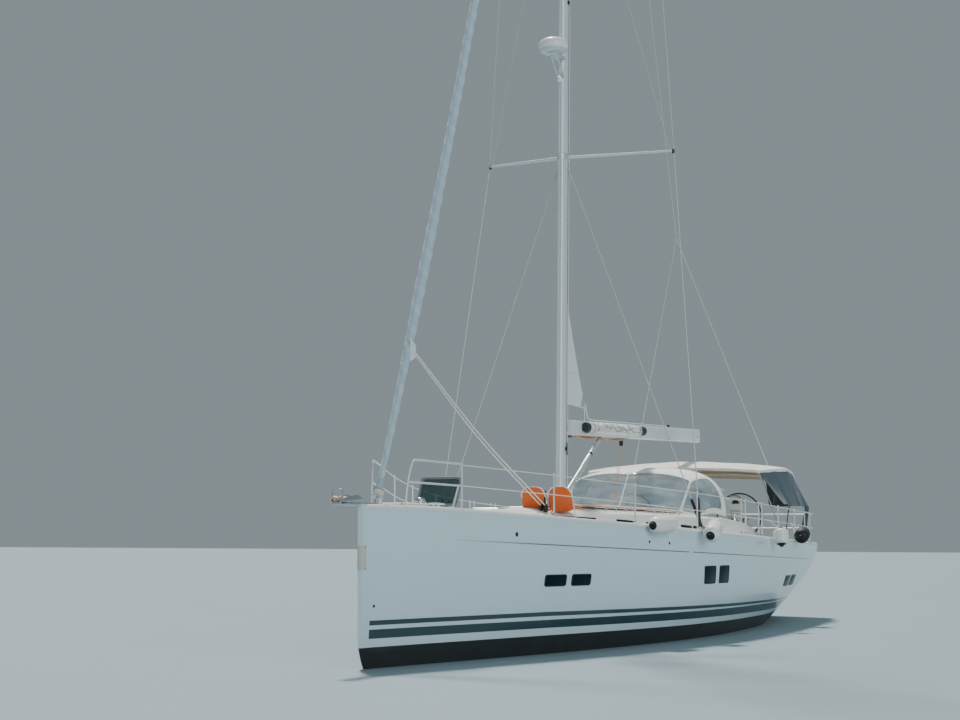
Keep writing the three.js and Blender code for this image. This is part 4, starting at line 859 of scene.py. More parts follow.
def build_coachroof():
    rings = []
    # Stations, and the share of the height that the roof has there
    stations = [(ROOF_FORE, 0.05), (3.705, 0.4), (3.73, 0.8)]
    stations += [(3.8 + (ROOF_BACK - 3.8) * k / 40, 1.0) for k in range(41)]
    for station, share in stations:
        side = roof_side(station)
        low = side[0][1]
        side = [(y, low + (z - low) * share) for y, z in side]
        full = side + [(-y, z) for y, z in side[-2::-1]]
        rings.append([(aft(station), y, z) for y, z in full])
    roof = lofted(rings)
    carve(roof, block((aft(11.5), -0.33, 1.4), (aft(10.5), 0.33, 2.7), 0.01))
    garage_top = roof_z(SLIDE["fore"]) - 0.028
    carve(roof, block((aft(11.5), -0.355, garage_top - 0.035), (aft(9.475), 0.355, garage_top)))
    settle(roof, "coachroof_shell", DECK, stands_for=["coachroof"], slot="deck", smooth=30)


build_coachroof()


def roof_patch(fore, back, inner, outer):
    """A patch of tread pattern on the roof, between two breadths that may change with the station."""
    def place(u, v):
        station = fore + (back - fore) * u
        y0, y1 = inner(station), outer(station)
        return on_roof(station, y0 + (y1 - y0) * v, 0.0015)
    return apply_modifier(sheet_of(place, 20, 8), "SOLIDIFY", thickness=0.004, offset=1.0)


def shoulder(station):
    return column(COACHROOF, 1, station) - 0.24


patches = [roof_patch(4.15, 5.45, lambda s: 0.03, shoulder), roof_patch(6.45, 7.0, lambda s: 0.12, shoulder),
           roof_patch(7.55, 9.35, lambda s: 0.55, shoulder)]
both_sides(fuse(patches), "roof_tread", TREAD, slot="deck")

# Slit windows in the side of the coachroof. Columns: fore end, aft end
SLITS = [(4.9, 5.9), (6.5, 7.9), (8.9, 9.42), (9.5, 10.3)]


def build_slits():
    panes = []
    for fore, back in SLITS:
        rings = []
        for grow, lift in ((0.0, -0.012), (0.0, 0.003), (-0.012, 0.005)):
            ring = []
            for u, v in rounded_outline((back - fore) / 2 + grow, 0.036 + grow, 0.02):
                station = (fore + back) / 2 + u
                half, height = column(COACHROOF, 1, station), column(COACHROOF, 2, station)
                low, top = sheer(station), sheer(station) + height * 0.65
                t = 0.5 + v / max(top - low, 0.05)
                y = half - side_lean(half) * 0.3 * t + 0.004
                ring.append((aft(station), y + lift, low + (top - low) * t + 0.02))
            rings.append(ring)
        panes.append(lofted(rings))
    both_sides(fuse(panes), "roof_slit_windows", DARK_GLASS)


build_slits()

# Flush hatches on the coachroof. Columns: station, breadth, half length, half width
FLUSH_HATCHES = [(5.95, 0.0, 0.28, 0.28), (8.35, 0.0, 0.22, 0.24), (4.2, 0.0, 0.17, 0.2)]
frames, panes = [], []
for station, y, long, wide in FLUSH_HATCHES:
    middle = on_roof(station, y)

    def hatch_ring(grow, lift):
        return [(middle.x + u, middle.y + v, roof_z(aft(middle.x + u), middle.y + v) + lift)
                for u, v in rounded_outline(long + grow, wide + grow, 0.05)]
    frames.append(lofted([hatch_ring(0.03, -0.01), hatch_ring(0.03, 0.01), hatch_ring(0.02, 0.018),
                          hatch_ring(0.0, 0.018), hatch_ring(0.0, -0.01)]))
    panes.append(lofted([hatch_ring(0.002, -0.01), hatch_ring(0.002, 0.014), hatch_ring(-0.02, 0.016)]))
settle(fuse(frames), "roof_hatch_frames", SPAR)
settle(fuse(panes), "roof_hatch_panes", DARK_GLASS)


# Companionway slide, with a grip
def build_slide():
    low = roof_z(SLIDE["fore"]) - 0.0624
    plate = block((aft(SLIDE["back"]), -SLIDE["half"], low), (aft(SLIDE["fore"]), SLIDE["half"], low + 0.028),
                  0.006)
    grip = tube([(aft(10.44), y, low + z) for y, z in
                 ((-0.12, 0.004), (-0.1, -0.03), (0.1, -0.03), (0.12, 0.004))], 0.007, 14, 8)
    settle(plate, "companionway_cover", TINTED, body="slide_hatch", stands_for=["companionway_slide"],
           slot="tinted_glass")
    settle(grip, "companionway_grip", STEEL, body="slide_hatch")


build_slide()

# Hatches of the foredeck and the anchor locker: fore end, length and half breadth of the opening
HATCHES = {"fore": (2.29, 0.45, 0.305), "locker": (0.9, 0.62, 0.23)}
RIM_RISE, HINGE_RISE, HINGE_FORE, BARREL = 0.016, 0.017, 0.02, 0.012
OPEN_ANGLE = 65


def hatch_rim(fore, length, half):
    top = deck_z(fore) + RIM_RISE
    middle = aft(fore + length / 2)

    def ring(grow, z):
        return [(middle + u, v, z) for u, v in rounded_outline(length / 2 + grow, half + grow, 0.05)]
    outer = [ring(0.045, top - 0.09), ring(0.045, top - 0.006), ring(0.039, top)]
    inner = [ring(-0.039, top), ring(-0.044, top - 0.006), ring(-0.044, top - 0.09)]
    return close_ends(lofted(outer + inner, caps=False))


def close_ends(piece):
    """Joins the first and the last ring of an open tube of rings."""
    only(piece)
    bpy.ops.object.mode_set(mode="EDIT")
    bpy.ops.mesh.select_all(action="DESELECT")
    bpy.ops.mesh.select_non_manifold()
    bpy.ops.mesh.bridge_edge_loops()
    bpy.ops.mesh.select_all(action="SELECT")
    bpy.ops.mesh.normals_make_consistent(inside=False)
    bpy.ops.object.mode_set(mode="OBJECT")
    return piece


def hinge_point(fore):
    return Vector((aft(fore - HINGE_FORE), 0, deck_z(fore) + RIM_RISE + HINGE_RISE))


def hinge_set(x, z, half):
    """Two lugs with the pin between them."""
    lugs = [block((x - 0.012, y0, z - 0.035), (x + 0.012, y1, z + 0.012), 0.004)
            for y0, y1 in ((half, half + 0.012), (-half - 0.012, -half))]
    return lugs + [bar((x, -half - 0.002, z), (x, half + 0.002, z), 0.006)]


def build_hatches():
    rims, lugs = [], []
    for fore, length, half in HATCHES.values():
        rims.append(hatch_rim(fore, length, half))
        hinge = hinge_point(fore)
        lugs += hinge_set(hinge.x, hinge.z, half * 0.6)
    settle(fuse(rims), "hatch_rims", SPAR)
    settle(fuse(lugs), "hatch_lugs", STEEL)

    fore, length, half = HATCHES["fore"]
    # The lid is made flat, with its hinge at the origin, and then swung open
    swing = Matrix.Translation(hinge_point(fore)) @ Matrix.Rotation(math.radians(OPEN_ANGLE), 4, "Y")
    middle = -0.248

    def ring(grow, z):
        return [(middle + u, v, z) for u, v in rounded_outline(0.222 + grow, half + grow, 0.045)]
    section = [(0, -0.012), (0, 0.006), (-0.004, 0.01), (-0.036, 0.01), (-0.036, -0.012)]
    rim = close_ends(lofted([ring(grow, z) for grow, z in section], caps=False))
    barrel = bar((0, -half * 0.6 + 0.001, 0), (0, half * 0.6 - 0.001, 0), BARREL, sides=20)
    web = block((-0.034, -half * 0.58, -0.008), (-0.006, half * 0.58, 0.008), 0.002)
    pane = lofted([ring(-0.034, -0.006), ring(-0.034, 0.006)])
    grips = [tube([(middle - 0.1, y + v, z) for v, z in
                   ((-0.05, -0.01), (-0.04, -0.035), (0.04, -0.035), (0.05, -0.01))], 0.006, 12, 8)
             for y in (-0.18, 0.18)]
    settle(placed(fuse([rim, barrel, web]), swing), "fore_hatch_frame", HATCH_ALLOY, body="fore_hatch",
           stands_for=["fore_hatch_lid"])
    settle(placed(pane, swing), "fore_hatch_pane", TINTED, body="fore_hatch", slot="tinted_glass")
    settle(placed(fuse(grips), swing), "fore_hatch_grips", BLACK, body="fore_hatch")

    fore, length, half = HATCHES["locker"]
    top = deck_z(fore) + RIM_RISE
    hinge_x = aft(fore - HINGE_FORE)
    lid = block((aft(fore + length), -half, top + 0.005), (hinge_x - 0.026, half, top + 0.031), 0.01, 3)
    web = block((hinge_x - 0.03, -half * 0.58, top + 0.008), (hinge_x - 0.005, half * 0.58, top + 0.026),
                0.002)
    barrel = bar((hinge_x, -half * 0.6 + 0.001, top + HINGE_RISE),
                 (hinge_x, half * 0.6 - 0.001, top + HINGE_RISE), BARREL, sides=20)
    tread = block((aft(fore + length - 0.05), -half + 0.05, top + 0.03),
                  (aft(fore + 0.08), half - 0.05, top + 0.033))
    latch = spun([(0.03, 0), (0.028, 0.004), (0.012, 0.004), (0.01, 0.001)],
                 (aft(fore + length - 0.025), 0, top + 0.031), sides=20)
    settle(fuse([lid, web, barrel]), "locker_cover", DECK, body="locker_lid",
           stands_for=["anchor_locker_lid"], slot="deck")
    settle(tread, "locker_tread", TREAD, body="locker_lid")
    settle(latch, "locker_latch", STEEL, body="locker_lid")


build_hatches()


# Bathing platform, folded up on the transom: half breadth, height of its hinge and half the hinge's length
PLATFORM = {"half": 1.25, "hinge_z": 0.43, "hinge_half": 1.0625}


def build_platform():
    wide, hinge_z, inner = PLATFORM["half"], PLATFORM["hinge_z"], PLATFORM["hinge_half"]
    face = aft(HULL_LENGTH) - 0.005
    hinge_x = aft(HULL_LENGTH) - 0.017
    plate = block((face - 0.045, -wide, 0.456), (face, wide, 1.47), 0.012, 3)
    web = block((hinge_x - 0.01, -1.06, 0.432), (hinge_x + 0.01, 1.06, 0.46), 0.002)
    barrel = bar((hinge_x, 0.001 - inner, hinge_z), (hinge_x, inner - 0.001, hinge_z), BARREL, sides=20)
    teak = block((face - 0.004, 0.05 - wide, 0.5), (face + 0.0015, wide - 0.05, 1.43), 0.0005, 1)
    lugs = hinge_set(hinge_x, hinge_z, inner)
    roots = [block((hinge_x - 0.012, y, hinge_z - 0.012), (hinge_x + 0.03, y + 0.012, hinge_z + 0.012))
             for y in (inner, -inner - 0.012)]
    steps = [block((face - 0.0465, -0.28, z), (face - 0.043, 0.28, z + 0.05), 0.001)
             for z in (0.7, 0.95, 1.2)]
    settle(fuse([plate, web, barrel]), "platform_panel", WHITE_PLASTIC, body="platform",
           stands_for=["bathing_platform"], slot="hull")
    settle(teak, "platform_teak", TEAK, body="platform", slot="teak")
    settle(fuse(steps), "platform_steps", BLACK, body="platform")
    settle(fuse(lugs + roots), "platform_lugs", STEEL)


build_platform()


# Coamings and winches. Columns: station, half breadth, top above the sheer
COAMING = [(11.46, 1.59, 0.385), (12.3, 1.61, 0.365), (13.2, 1.64, 0.33), (14.05, 1.66, 0.25)]
COAMING_FORE, COAMING_BACK = COAMING[0][0], COAMING[-1][0]
WINCHES = [12.85, 13.65]


def build_coaming():
    rings = []
    for k in range(19):
        station = COAMING_FORE + (COAMING_BACK - COAMING_FORE) * k / 18
        half, height = column(COAMING, 1, station), column(COAMING, 2, station)
        if k > 15:
            height *= 1 - 0.09 * (k - 15) ** 1.6
        low, high = sheer(station) - 0.04, sheer(station) + height
        knots = [(half + 0.04, low), (half + 0.012, high - 0.07), (half - 0.05, high),
                 (half - 0.15, high + 0.004), (half - 0.25, high), (half - 0.295, high - 0.05),
                 (half - 0.31, low)]
        line = smooth_path([(0, y, z) for y, z in knots], 22)
        rings.append([(aft(station), p.y, max(p.z, deck_z(station, p.y) + 0.0005)) for p in line])
    both_sides(lofted(rings), "coaming_shell", DECK, stands_for=["coaming"], slot="deck")


# Base, drum and jaw of a winch. Columns: radius, height
WINCH_PARTS = [
    [(0.1, 0), (0.1, 0.02), (0.092, 0.03), (0.07, 0.04)],
    [(0.072, 0.028), (0.062, 0.06), (0.06, 0.09), (0.066, 0.115), (0.08, 0.125)],
    [(0.082, 0.125), (0.082, 0.135), (0.07, 0.14), (0.082, 0.145), (0.08, 0.155), (0.05, 0.165),
     (0.02, 0.167), (0.018, 0.15)],
]


build_coaming()
pieces = []
for station in WINCHES:
    y = column(COAMING, 1, station) - 0.15
    foot = (aft(station), y, sheer(station) + column(COAMING, 2, station) - 0.012)
    pieces += [spun(profile, foot, sides=28) for profile in WINCH_PARTS]
both_sides(fuse(pieces), "winches", STEEL, slot="stainless")


# Cockpit table with its leaves folded down, and steering stands
TABLE = {"fore": 12.25, "back": 13.5, "half": 0.17, "top": 1.76}


def build_table():
    z, wide = TABLE["top"], TABLE["half"]
    x0, x1 = aft(TABLE["back"]), aft(TABLE["fore"])
    top = block((x0, -wide, z - 0.035), (x1, wide, z), 0.01, 3)
    leaves = [block((x0, y, z - 0.33), (x1, y + 0.028, z - 0.03), 0.008) for y in (wide - 0.028, -wide)]
    body = block((aft(13.3), -0.13, 1.0103), (aft(12.45), 0.13, z - 0.03), 0.03, 3)
    foot = block((aft(13.34), -0.135, 1.0095), (aft(12.41), 0.135, 1.04), 0.008)
    rail = tube([(aft(s), y, z + h) for s, y, h in
                 ((12.2, -0.1, -0.3), (12.17, -0.1, 0.03), (12.17, 0.1, 0.03), (12.2, 0.1, -0.3))],
                0.014, 26, 10)
    settle(fuse([top] + leaves), "cockpit_table_top", TEAK, stands_for=["cockpit_table"], slot="teak")
    settle(fuse([body, foot]), "cockpit_table_base", DECK, slot="deck")
    settle(rail, "cockpit_table_rail", STEEL)


HELM = {"station": 14.52, "y": 1.12, "z": 2.06, "wheel": 14.76, "radius": 0.45}


def build_stand():
    x, y = aft(HELM["station"]), HELM["y"]
    # Columns: lean forward, length, breadth, height
    rows = [(0.06, 0.3, 0.21, 1.1095), (0.01, 0.24, 0.17, 1.62), (-0.02, 0.2, 0.19, 1.94),
            (-0.01, 0.17, 0.2, 2.2)]
    rings = []
    for k in range(17):
        t = k / 16 * 3
        i = min(int(t), 2)
        lean, long, wide, z = (a + (b - a) * (t - i) for a, b in zip(rows[i], rows[i + 1]))
        shrink = 0.02 if k in (0, 16) else 0.0
        rings.append([(x + lean + u, y + v, z) for u, v in
                      rounded_outline(long / 2 - shrink, wide / 2 - shrink, 0.045, 6)])
    stand = lofted(rings)
    pod = block((x - 0.02, y - 0.14, 2.16), (x + 0.12, y + 0.14, 2.3), 0.02, 3)
    screen = block((x - 0.026, y - 0.11, 2.185), (x - 0.015, y + 0.11, 2.28), 0.003)
    compass = spun([(0.07, 0), (0.07, 0.02), (0.06, 0.05), (0.03, 0.07)], (x + 0.06, y, 2.3), sides=24)
    guard = tube([(x + 0.1, y - 0.12, 1.9), (x + 0.16, y - 0.14, 2.4), (x + 0.16, y + 0.14, 2.4),
                  (x + 0.1, y + 0.12, 1.9)], 0.0125, 30, 10)
    both_sides(fuse([stand, pod]), "helm_stand", DECK, stands_for=["wheel_pedestal"], slot="deck")
    both_sides(fuse([screen, compass]), "helm_instruments", BLACK)
    both_sides(guard, "helm_guard", STEEL)


def build_helm_wheel():
    centre = Vector((aft(HELM["wheel"]), HELM["y"], HELM["z"]))
    bpy.ops.object.select_all(action="DESELECT")
    bpy.ops.mesh.primitive_torus_add(major_segments=72, minor_segments=12, major_radius=HELM["radius"],
                                     minor_radius=0.0148)
    rim = placed(bpy.context.object, Matrix.Translation(centre) @ Matrix.Rotation(math.pi / 2, 4, "Y"))
    spokes = []
    for k in range(5):
        angle = math.radians(90 + 72 * k)
        out = Vector((0, math.sin(angle), math.cos(angle)))
        spokes.append(tube([centre + Vector((-0.02, 0, 0)) + out * 0.03,
                            centre + Vector((-0.035, 0, 0)) + out * 0.16,
                            centre + out * (HELM["radius"] - 0.008)], 0.0085, 12, 8))
    hub = spun([(0.012, -0.05), (0.04, -0.045), (0.055, -0.03), (0.055, 0.025), (0.03, 0.03), (0.022, 0.04),
                (0.022, 0.26)], centre, (1, 0, 0), 28)
    twin = mirror(rim)
    spider = fuse(spokes + [hub])
    other = mirror(spider)
    for side, leather, metalwork in (("port", rim, spider), ("stbd", twin, other)):
        settle(leather, f"wheel_rim_{side}", LEATHER, body=f"wheel_{side}", stands_for=[f"helm_wheel_{side}"])
        settle(metalwork, f"wheel_spokes_{side}", STEEL, body=f"wheel_{side}", slot="stainless")


build_table()
build_stand()
build_helm_wheel()


# Mast. Its station is given at the height MAST_FOOT. Columns of the shape: height, share of the full section
MAST_STATION, MAST_RAKE, MAST_FOOT, MAST_TOP, HOUNDS_Z = 7.26, 0.024, 2, 23.4, 21.3
MAST_SHAPE = [(1.9, 1.0), (18.8, 1.0), (HOUNDS_Z, 0.86), (MAST_TOP, 0.62)]
MAST_LONG, MAST_WIDE = 0.13, 0.076
GOOSENECK_Z, VANG_Z, PIN_BACK = 3.42, 2.33, 0.215
# Rubber collar round the foot of the mast. Columns: height, growth past the mast's section
COLLAR = [(2.0, 0.055), (2.03, 0.04), (2.1, 0.012), (2.13, 0.004)]
RADAR_Z = 9.6


def mast_point(z, back=0.0, y=0.0):
    return Vector((aft(MAST_STATION + MAST_RAKE * (z - MAST_FOOT) + back), y, z))


def mast_finish():
    """Pale on the front and greyer behind with painted shade, with the sail's dark slot at the back."""
    made = Finish("mast_finish", tone(214, 222, 228), 0.36, 0.35)
    x, y, z = made.axes()
    ahead = x - aft(MAST_STATION) + (z - MAST_FOOT) * MAST_RAKE
    slot = (1 - abs(y).over(0.012, 0.002)) * (1 - ahead.over(-0.12, 0.004))
    # Painted shade: the aft half of the mast is greyer than its front
    tint = made.mix(ahead.over(-0.03, 0.004), tone(128, 138, 146), tone(222, 230, 236))
    made.put(Base_Color=made.mix(slot, tint, NEAR_BLACK),
             Roughness=0.34 + made.noise(6.0, 3.0, (8, 8, 0.4)) * 0.12)
    return made


def build_mast():
    heights = [roof_z(MAST_STATION) + 0.0003, 2.2] + [3 + k for k in range(16)]
    heights += [19.5, 20.3, HOUNDS_Z, 22.4, MAST_TOP]
    rings = []
    for z in heights:
        share = column(MAST_SHAPE, 1, max(z, MAST_SHAPE[0][0]))
        ring = []
        for k in range(40):
            angle = math.tau * (k + 0.5) / 40
            c, s = math.cos(angle), math.sin(angle)
            x = MAST_LONG * share * math.copysign(abs(c) ** 0.8, c)
            y = MAST_WIDE * share * math.copysign(abs(s) ** 0.72, s)
            if c < -0.99:
                x += 0.035
            ring.append(mast_point(z) + Vector((x, y, 0)))
        rings.append(ring)
    body = lofted(rings)
    head = mast_point(MAST_TOP)
    crane = block((head.x - 0.26, -0.03, MAST_TOP - 0.09), (head.x + 0.15, 0.03, MAST_TOP + 0.025), 0.01)
    lugs = []
    for z in (GOOSENECK_Z, VANG_Z):
        for rise in (-0.08, 0.066):
            x = mast_point(z + rise, PIN_BACK).x
            lugs.append(block((x - 0.034, -0.03, z + rise), (x + 0.11, 0.03, z + rise + 0.014), 0.003))
        lugs.append(bar(mast_point(z - 0.085, PIN_BACK), mast_point(z + 0.085, PIN_BACK), 0.0138, sides=16))
    settle(fuse([body, crane]), "mast_section", mast_finish(), stands_for=["mast"], slot="spar", smooth=40)
    boot = lofted([circle(mast_point(z), (0, 0, 1), 1, 32) for z, _ in COLLAR])
    for vertex in boot.data.vertices:
        z = vertex.co.z
        centre = mast_point(z)
        _, grow = min(COLLAR, key=lambda row: abs(row[0] - z))
        vertex.co.x = centre.x + (vertex.co.x - centre.x) * (MAST_LONG + grow)
        vertex.co.y = vertex.co.y * (MAST_WIDE + 0.002 + grow)
        # The lower two rings follow the roof
        vertex.co.z = max(z, roof_z(aft(vertex.co.x), vertex.co.y) + 0.001) if z < 2.04 else z + 0.035
    settle(boot, "mast_collar", BLACK)
    settle(fuse(lugs), "mast_lugs", STEEL, slot="stainless")
    antenna = bar(head + Vector((-0.12, 0, 0.02)), head + Vector((-0.12, 0, 0.899)), 0.006, 0.003)
    light = spun([(0.03, 0), (0.032, 0.02), (0.032, 0.07), (0.02, 0.09)], head + Vector((-0.03, 0, 0.025)))
    settle(fuse([antenna, light]), "masthead_antenna", BLACK)
    arm_end = head + Vector((0.32, 0, 0.18))
    vane = [bar(head + Vector((0.1, 0, 0.02)), arm_end, 0.006, sides=8),
            spun([(0.012, -0.02), (0.014, 0.0), (0.01, 0.03)], arm_end, sides=14)]
    hub = arm_end + Vector((0, 0, 0.01))
    for angle in turns(3):
        cup = hub + Vector((math.cos(angle), math.sin(angle), 0)) * 0.06
        vane += [bar(hub, cup, 0.003, sides=6),
                 spun([(0.002, -0.018), (0.016, -0.01), (0.018, 0.012)], cup,
                      (-math.sin(angle), math.cos(angle), 0), 12)]
    settle(fuse(vane), "masthead_wind_gear", BLACK)
    lamp = spun([(0.035, -0.05), (0.04, -0.03), (0.04, 0.04), (0.02, 0.06)], mast_point(9.22, -0.19),
                sides=20)
    bracket = block((mast_point(9.2).x + 0.12, -0.02, 9.17), (mast_point(9.2).x + 0.18, 0.02, 9.2), 0.004)
    settle(fuse([lamp, bracket]), "steaming_light", WHITE_PLASTIC)
    cleats = [block((mast_point(z).x - 0.03, 0.07, z - 0.03), (mast_point(z).x + 0.03, 0.1, z + 0.03), 0.008)
              for z in (3.05, 10.6)]
    cleats.append(bar(mast_point(2.95, 0.0, 0.1), mast_point(3.15, 0.0, 0.1), 0.01, sides=8))
    settle(fuse(cleats), "mast_cleats", BLACK)
    lines = []
    for back, y in ((-0.137, 0.02), (-0.137, -0.02), (-0.12, 0.055), (0.05, 0.09), (0.05, -0.09)):
        points = [mast_point(2.25, back, y), mast_point(12.0, back * 1.005, y),
                  mast_point(20.9, back * 0.92, y * 0.9)]
        lines.append(tube(points, 0.006, 24, 6))
    settle(fuse(lines), "mast_halyards", WHITE_ROPE)


build_mast()


# Spreaders. Columns: node, root height, tip half breadth, tip back of the mast centre, tip rise
SPREADERS = [("spreaders_lower", 7.92, 1.67, 0.86, 0.16), ("spreaders_upper", 14.45, 1.25, 0.64, 0.11)]


def tip_of(row, side):
    _, z, half, back, rise = row
    return Vector((mast_point(z, back).x, side * half, z + rise))


def foil_section(centre, half, deep):
    """A flat airfoil ring in the plane square to Y, its nose forward."""
    ring = []
    for angle in turns(18):
        nose = 0.5 + 0.5 * math.cos(angle)
        ring.append(centre + Vector((half * math.cos(angle), 0,
                                     deep * math.sin(angle) * (0.45 + 0.55 * nose))))
    return ring


def build_spreaders():
    for row in SPREADERS:
        name, z = row[0], row[1]
        parts = []
        for side in (1, -1):
            tip = tip_of(row, side)
            root = mast_point(z, 0.0, side * 0.05) + Vector((-0.04, 0, 0.004))
            rings = []
            for k in range(9):
                t = k / 8
                centre = root.lerp(tip + Vector((0.01, -side * 0.02, -0.002)), t)
                rings.append(foil_section(centre, 0.085 - 0.03 * t, 0.024 - 0.006 * t))
            parts.append(lofted(rings))
        # Columns: height past the root, half length and half breadth of the collar on the mast
        shape = ((-0.06, 0.136, 0.082), (-0.05, 0.144, 0.09), (0.05, 0.144, 0.09), (0.06, 0.136, 0.082))
        collar = lofted([[mast_point(z + h) + Vector((long * math.cos(a), wide * math.sin(a), 0))
                          for a in turns(32)] for h, long, wide in shape])
        ends = [spun([(0.02, -0.03), (0.024, 0.0), (0.02, 0.04)],
                     tip_of(row, side) - Vector((0, side * 0.012, 0.01)), sides=16)
                for side in (1, -1)]
        settle(fuse(parts + [collar]), name.replace("spreaders", "spreader_pair"), SPAR, stands_for=[name],
               slot="spar")
        settle(fuse(ends), name.replace("spreaders", "spreader_ends"), BLACK)


build_spreaders()

# Sleeves on the rigging screws. Columns: chainplate's station, upper end of the shroud
CHAINPLATE_INSET = 0.07
SLEEVES = [(7.45, tip_of(SPREADERS[0], 1)), (7.56, Vector((aft(7.42), 0.085, 7.74)))]
sleeves, plates = [], []
for station, head in SLEEVES:
    foot = on_deck(station, half_breadth(station) - CHAINPLATE_INSET)
    along = (head - foot).normalized()
    sleeves.append(lofted([circle(foot + along * h, along, r, 14) for h, r in
                           ((0.06, 0.02), (0.07, 0.025), (0.5, 0.025), (0.54, 0.012))]))
    plates.append(block_at(foot, 0.07, 0.03, -0.002, 0.008, 0.003))
both_sides(fuse(sleeves), "screw_sleeves", BLACK)
both_sides(fuse(plates), "chainplate_covers", STEEL)


# Furled headsail on its sagging stay. Columns of the roll: share of its height, radius
FORESTAY = {"station": 0.45, "foot": 2.08, "sag": 0.4, "drum": 0.25}
FURL = [
    (0, 0.036), (0.02, 0.039), (0.05, 0.047), (0.1, 0.06), (0.14, 0.071), (0.17, 0.07), (0.22, 0.064),
    (0.34, 0.061), (0.5, 0.056), (0.75, 0.044), (0.93, 0.031), (1, 0.018),
]
FURL_TURNS = 70


def forestay(t):
    top = mast_point(HOUNDS_Z, -0.1358)
    foot_x = aft(FORESTAY["station"])
    return Vector((foot_x + (top.x - foot_x) * t - 4 * FORESTAY["sag"] * t * (1 - t), 0,
                   FORESTAY["foot"] + (HOUNDS_Z - FORESTAY["foot"]) * t))


FURL_START = FORESTAY["drum"] / (HOUNDS_Z - FORESTAY["foot"])


def furled_sail_finish():
    made = woven("furled_sail", tone(176, 194, 208), tone(146, 166, 184), 0.75)
    u, v, _ = made.axes("UV")
    turn = (v * FURL_TURNS + u).wave(1.0)
    # Painted highlight: a pale band on the crest of each turn of the roll
    light = turn.over(0.62, 0.03)
    cloth = made.mix(made.noise(9.0, 5.0).over(0.5, 0.3) * 0.5, tone(182, 200, 212), tone(154, 172, 186))
    made.put(Base_Color=made.mix(light * 0.28, cloth, tone(214, 221, 226)))
    return made.bump(turn + made.noise(20.0, 4.0) * 0.6, 0.012, 0.7)


def build_furled_sail():
    def place(u, v):
        t = FURL_START + (1 - FURL_START) * v
        radius = column(FURL, 1, v)
        angle = math.tau * u
        twist = angle - v * FURL_TURNS * math.tau
        radius *= 1 + 0.09 * math.cos(twist) + 0.025 * math.sin(3 * twist + v * 90)
        return forestay(t) + Vector((radius * math.cos(angle), radius * math.sin(angle), 0))
    sail = outward(sheet_of(place, 20, 180), merge=0.0003, fill=True)
    settle(sail, "furled_headsail", furled_sail_finish(), stands_for=["headsail_furled"], slot="sail",
           smooth=70)
    clew = forestay((4.04 - FORESTAY["foot"]) / (HOUNDS_Z - FORESTAY["foot"]))
    flap = sheet_of(lambda u, v: clew + Vector((0.03 - 0.16 * u, 0.05 + 0.035 * math.sin(3 * u),
                                                (v - 0.5) * 0.3 * (1 - u * 0.85) - 0.02 * u)), 10, 8)
    apply_modifier(flap, "SOLIDIFY", thickness=0.008, offset=0)
    settle(flap, "headsail_clew", SAILCLOTH, slot="sail", smooth=60)
    bpy.ops.mesh.primitive_torus_add(major_segments=24, minor_segments=8,
                                     major_radius=0.022, minor_radius=0.006,
                                     location=clew + Vector((-0.13, 0.055, -0.02)), rotation=(1.57, 0, 0))
    ring = bpy.context.object
    only(ring)
    bpy.ops.object.transform_apply(location=True, rotation=True, scale=True)
    settle(ring, "headsail_clew_ring", STEEL)
    foot = Vector((aft(4.86), 0.59, 2.03))
    sheets = [tube([clew + Vector((-0.13, 0.05 + side * 0.012, -0.03)),
                    clew.lerp(foot, 0.5) + Vector((0, side * 0.03, -0.035)),
                    foot + Vector((0.03, side * 0.035, 0.05))], 0.0085, 40, 8) for side in (1, -1)]
    settle(fuse(sheets), "headsail_sheets", WHITE_ROPE)
    cheeks = [block(foot + Vector((-0.045, y - 0.018, -0.05)), foot + Vector((0.045, y + 0.018, 0.07)),
                    0.014, 3)
              for y in (0.035, -0.035)]
    post = tube([foot + Vector((x, 0, z)) for x, z in ((-0.03, -0.02), (-0.06, 0.15), (-0.065, 0.27))],
                0.013, 14, 10)
    base = spun([(0.07, -0.09), (0.06, -0.06), (0.03, -0.045)], foot, sides=24)
    settle(fuse(cheeks + [post, base]), "headsail_blocks", BLACK)


def build_drum():
    foot = forestay(0)
    along = forestay(FURL_START) - foot
    spool = spun([(0.03, 0.02), (0.08, 0.02), (0.08, 0.03), (0.05, 0.034), (0.05, 0.116), (0.08, 0.12),
                  (0.08, 0.13), (0.045, 0.134), (0.045, 0.15), (0.045, along.length - 0.0006)],
                 foot, along, 32)
    line = spun([(0.064 + 0.005 * (k % 3 == 1), 0.036 + 0.0026 * k) for k in range(31)], foot, along, 32)
    toggle = spun([(0.016, -0.12), (0.018, 0.0), (0.02, 0.025)], foot, along, 16)
    fork = block_at(foot, 0.03, 0.025, -0.115, -0.06, 0.008)
    settle(spool, "furler_spool", FURLER_ALLOY, stands_for=["furler_drum"], slot="black_plastic")
    settle(line, "furler_line", WHITE_ROPE)
    settle(fuse([toggle, fork]), "furler_toggle", STEEL)


build_furled_sail()
build_drum()


# Cloth and padding
def cloth(name, place, across, along, finish, held, rests_on, thickness=0.003, **more):
    """A sheet of cloth, whose cut size is measured."""
    piece = sheet_of(place, across, along)
    shares = [k / 40 for k in range(41)]

    def run(points):
        return sum((b - a).length for a, b in zip(points, points[1:]))
    wide = max(run([place(u, v) for u in shares]) for v in (0.0, 0.5, 1.0))
    long = max(run([place(u, v) for v in shares]) for u in (0.0, 0.5, 1.0))
    apply_modifier(piece, "SOLIDIFY", thickness=thickness, offset=0.0)
    settle(piece, name, finish, smooth=60, **more)
    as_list(rests_on)


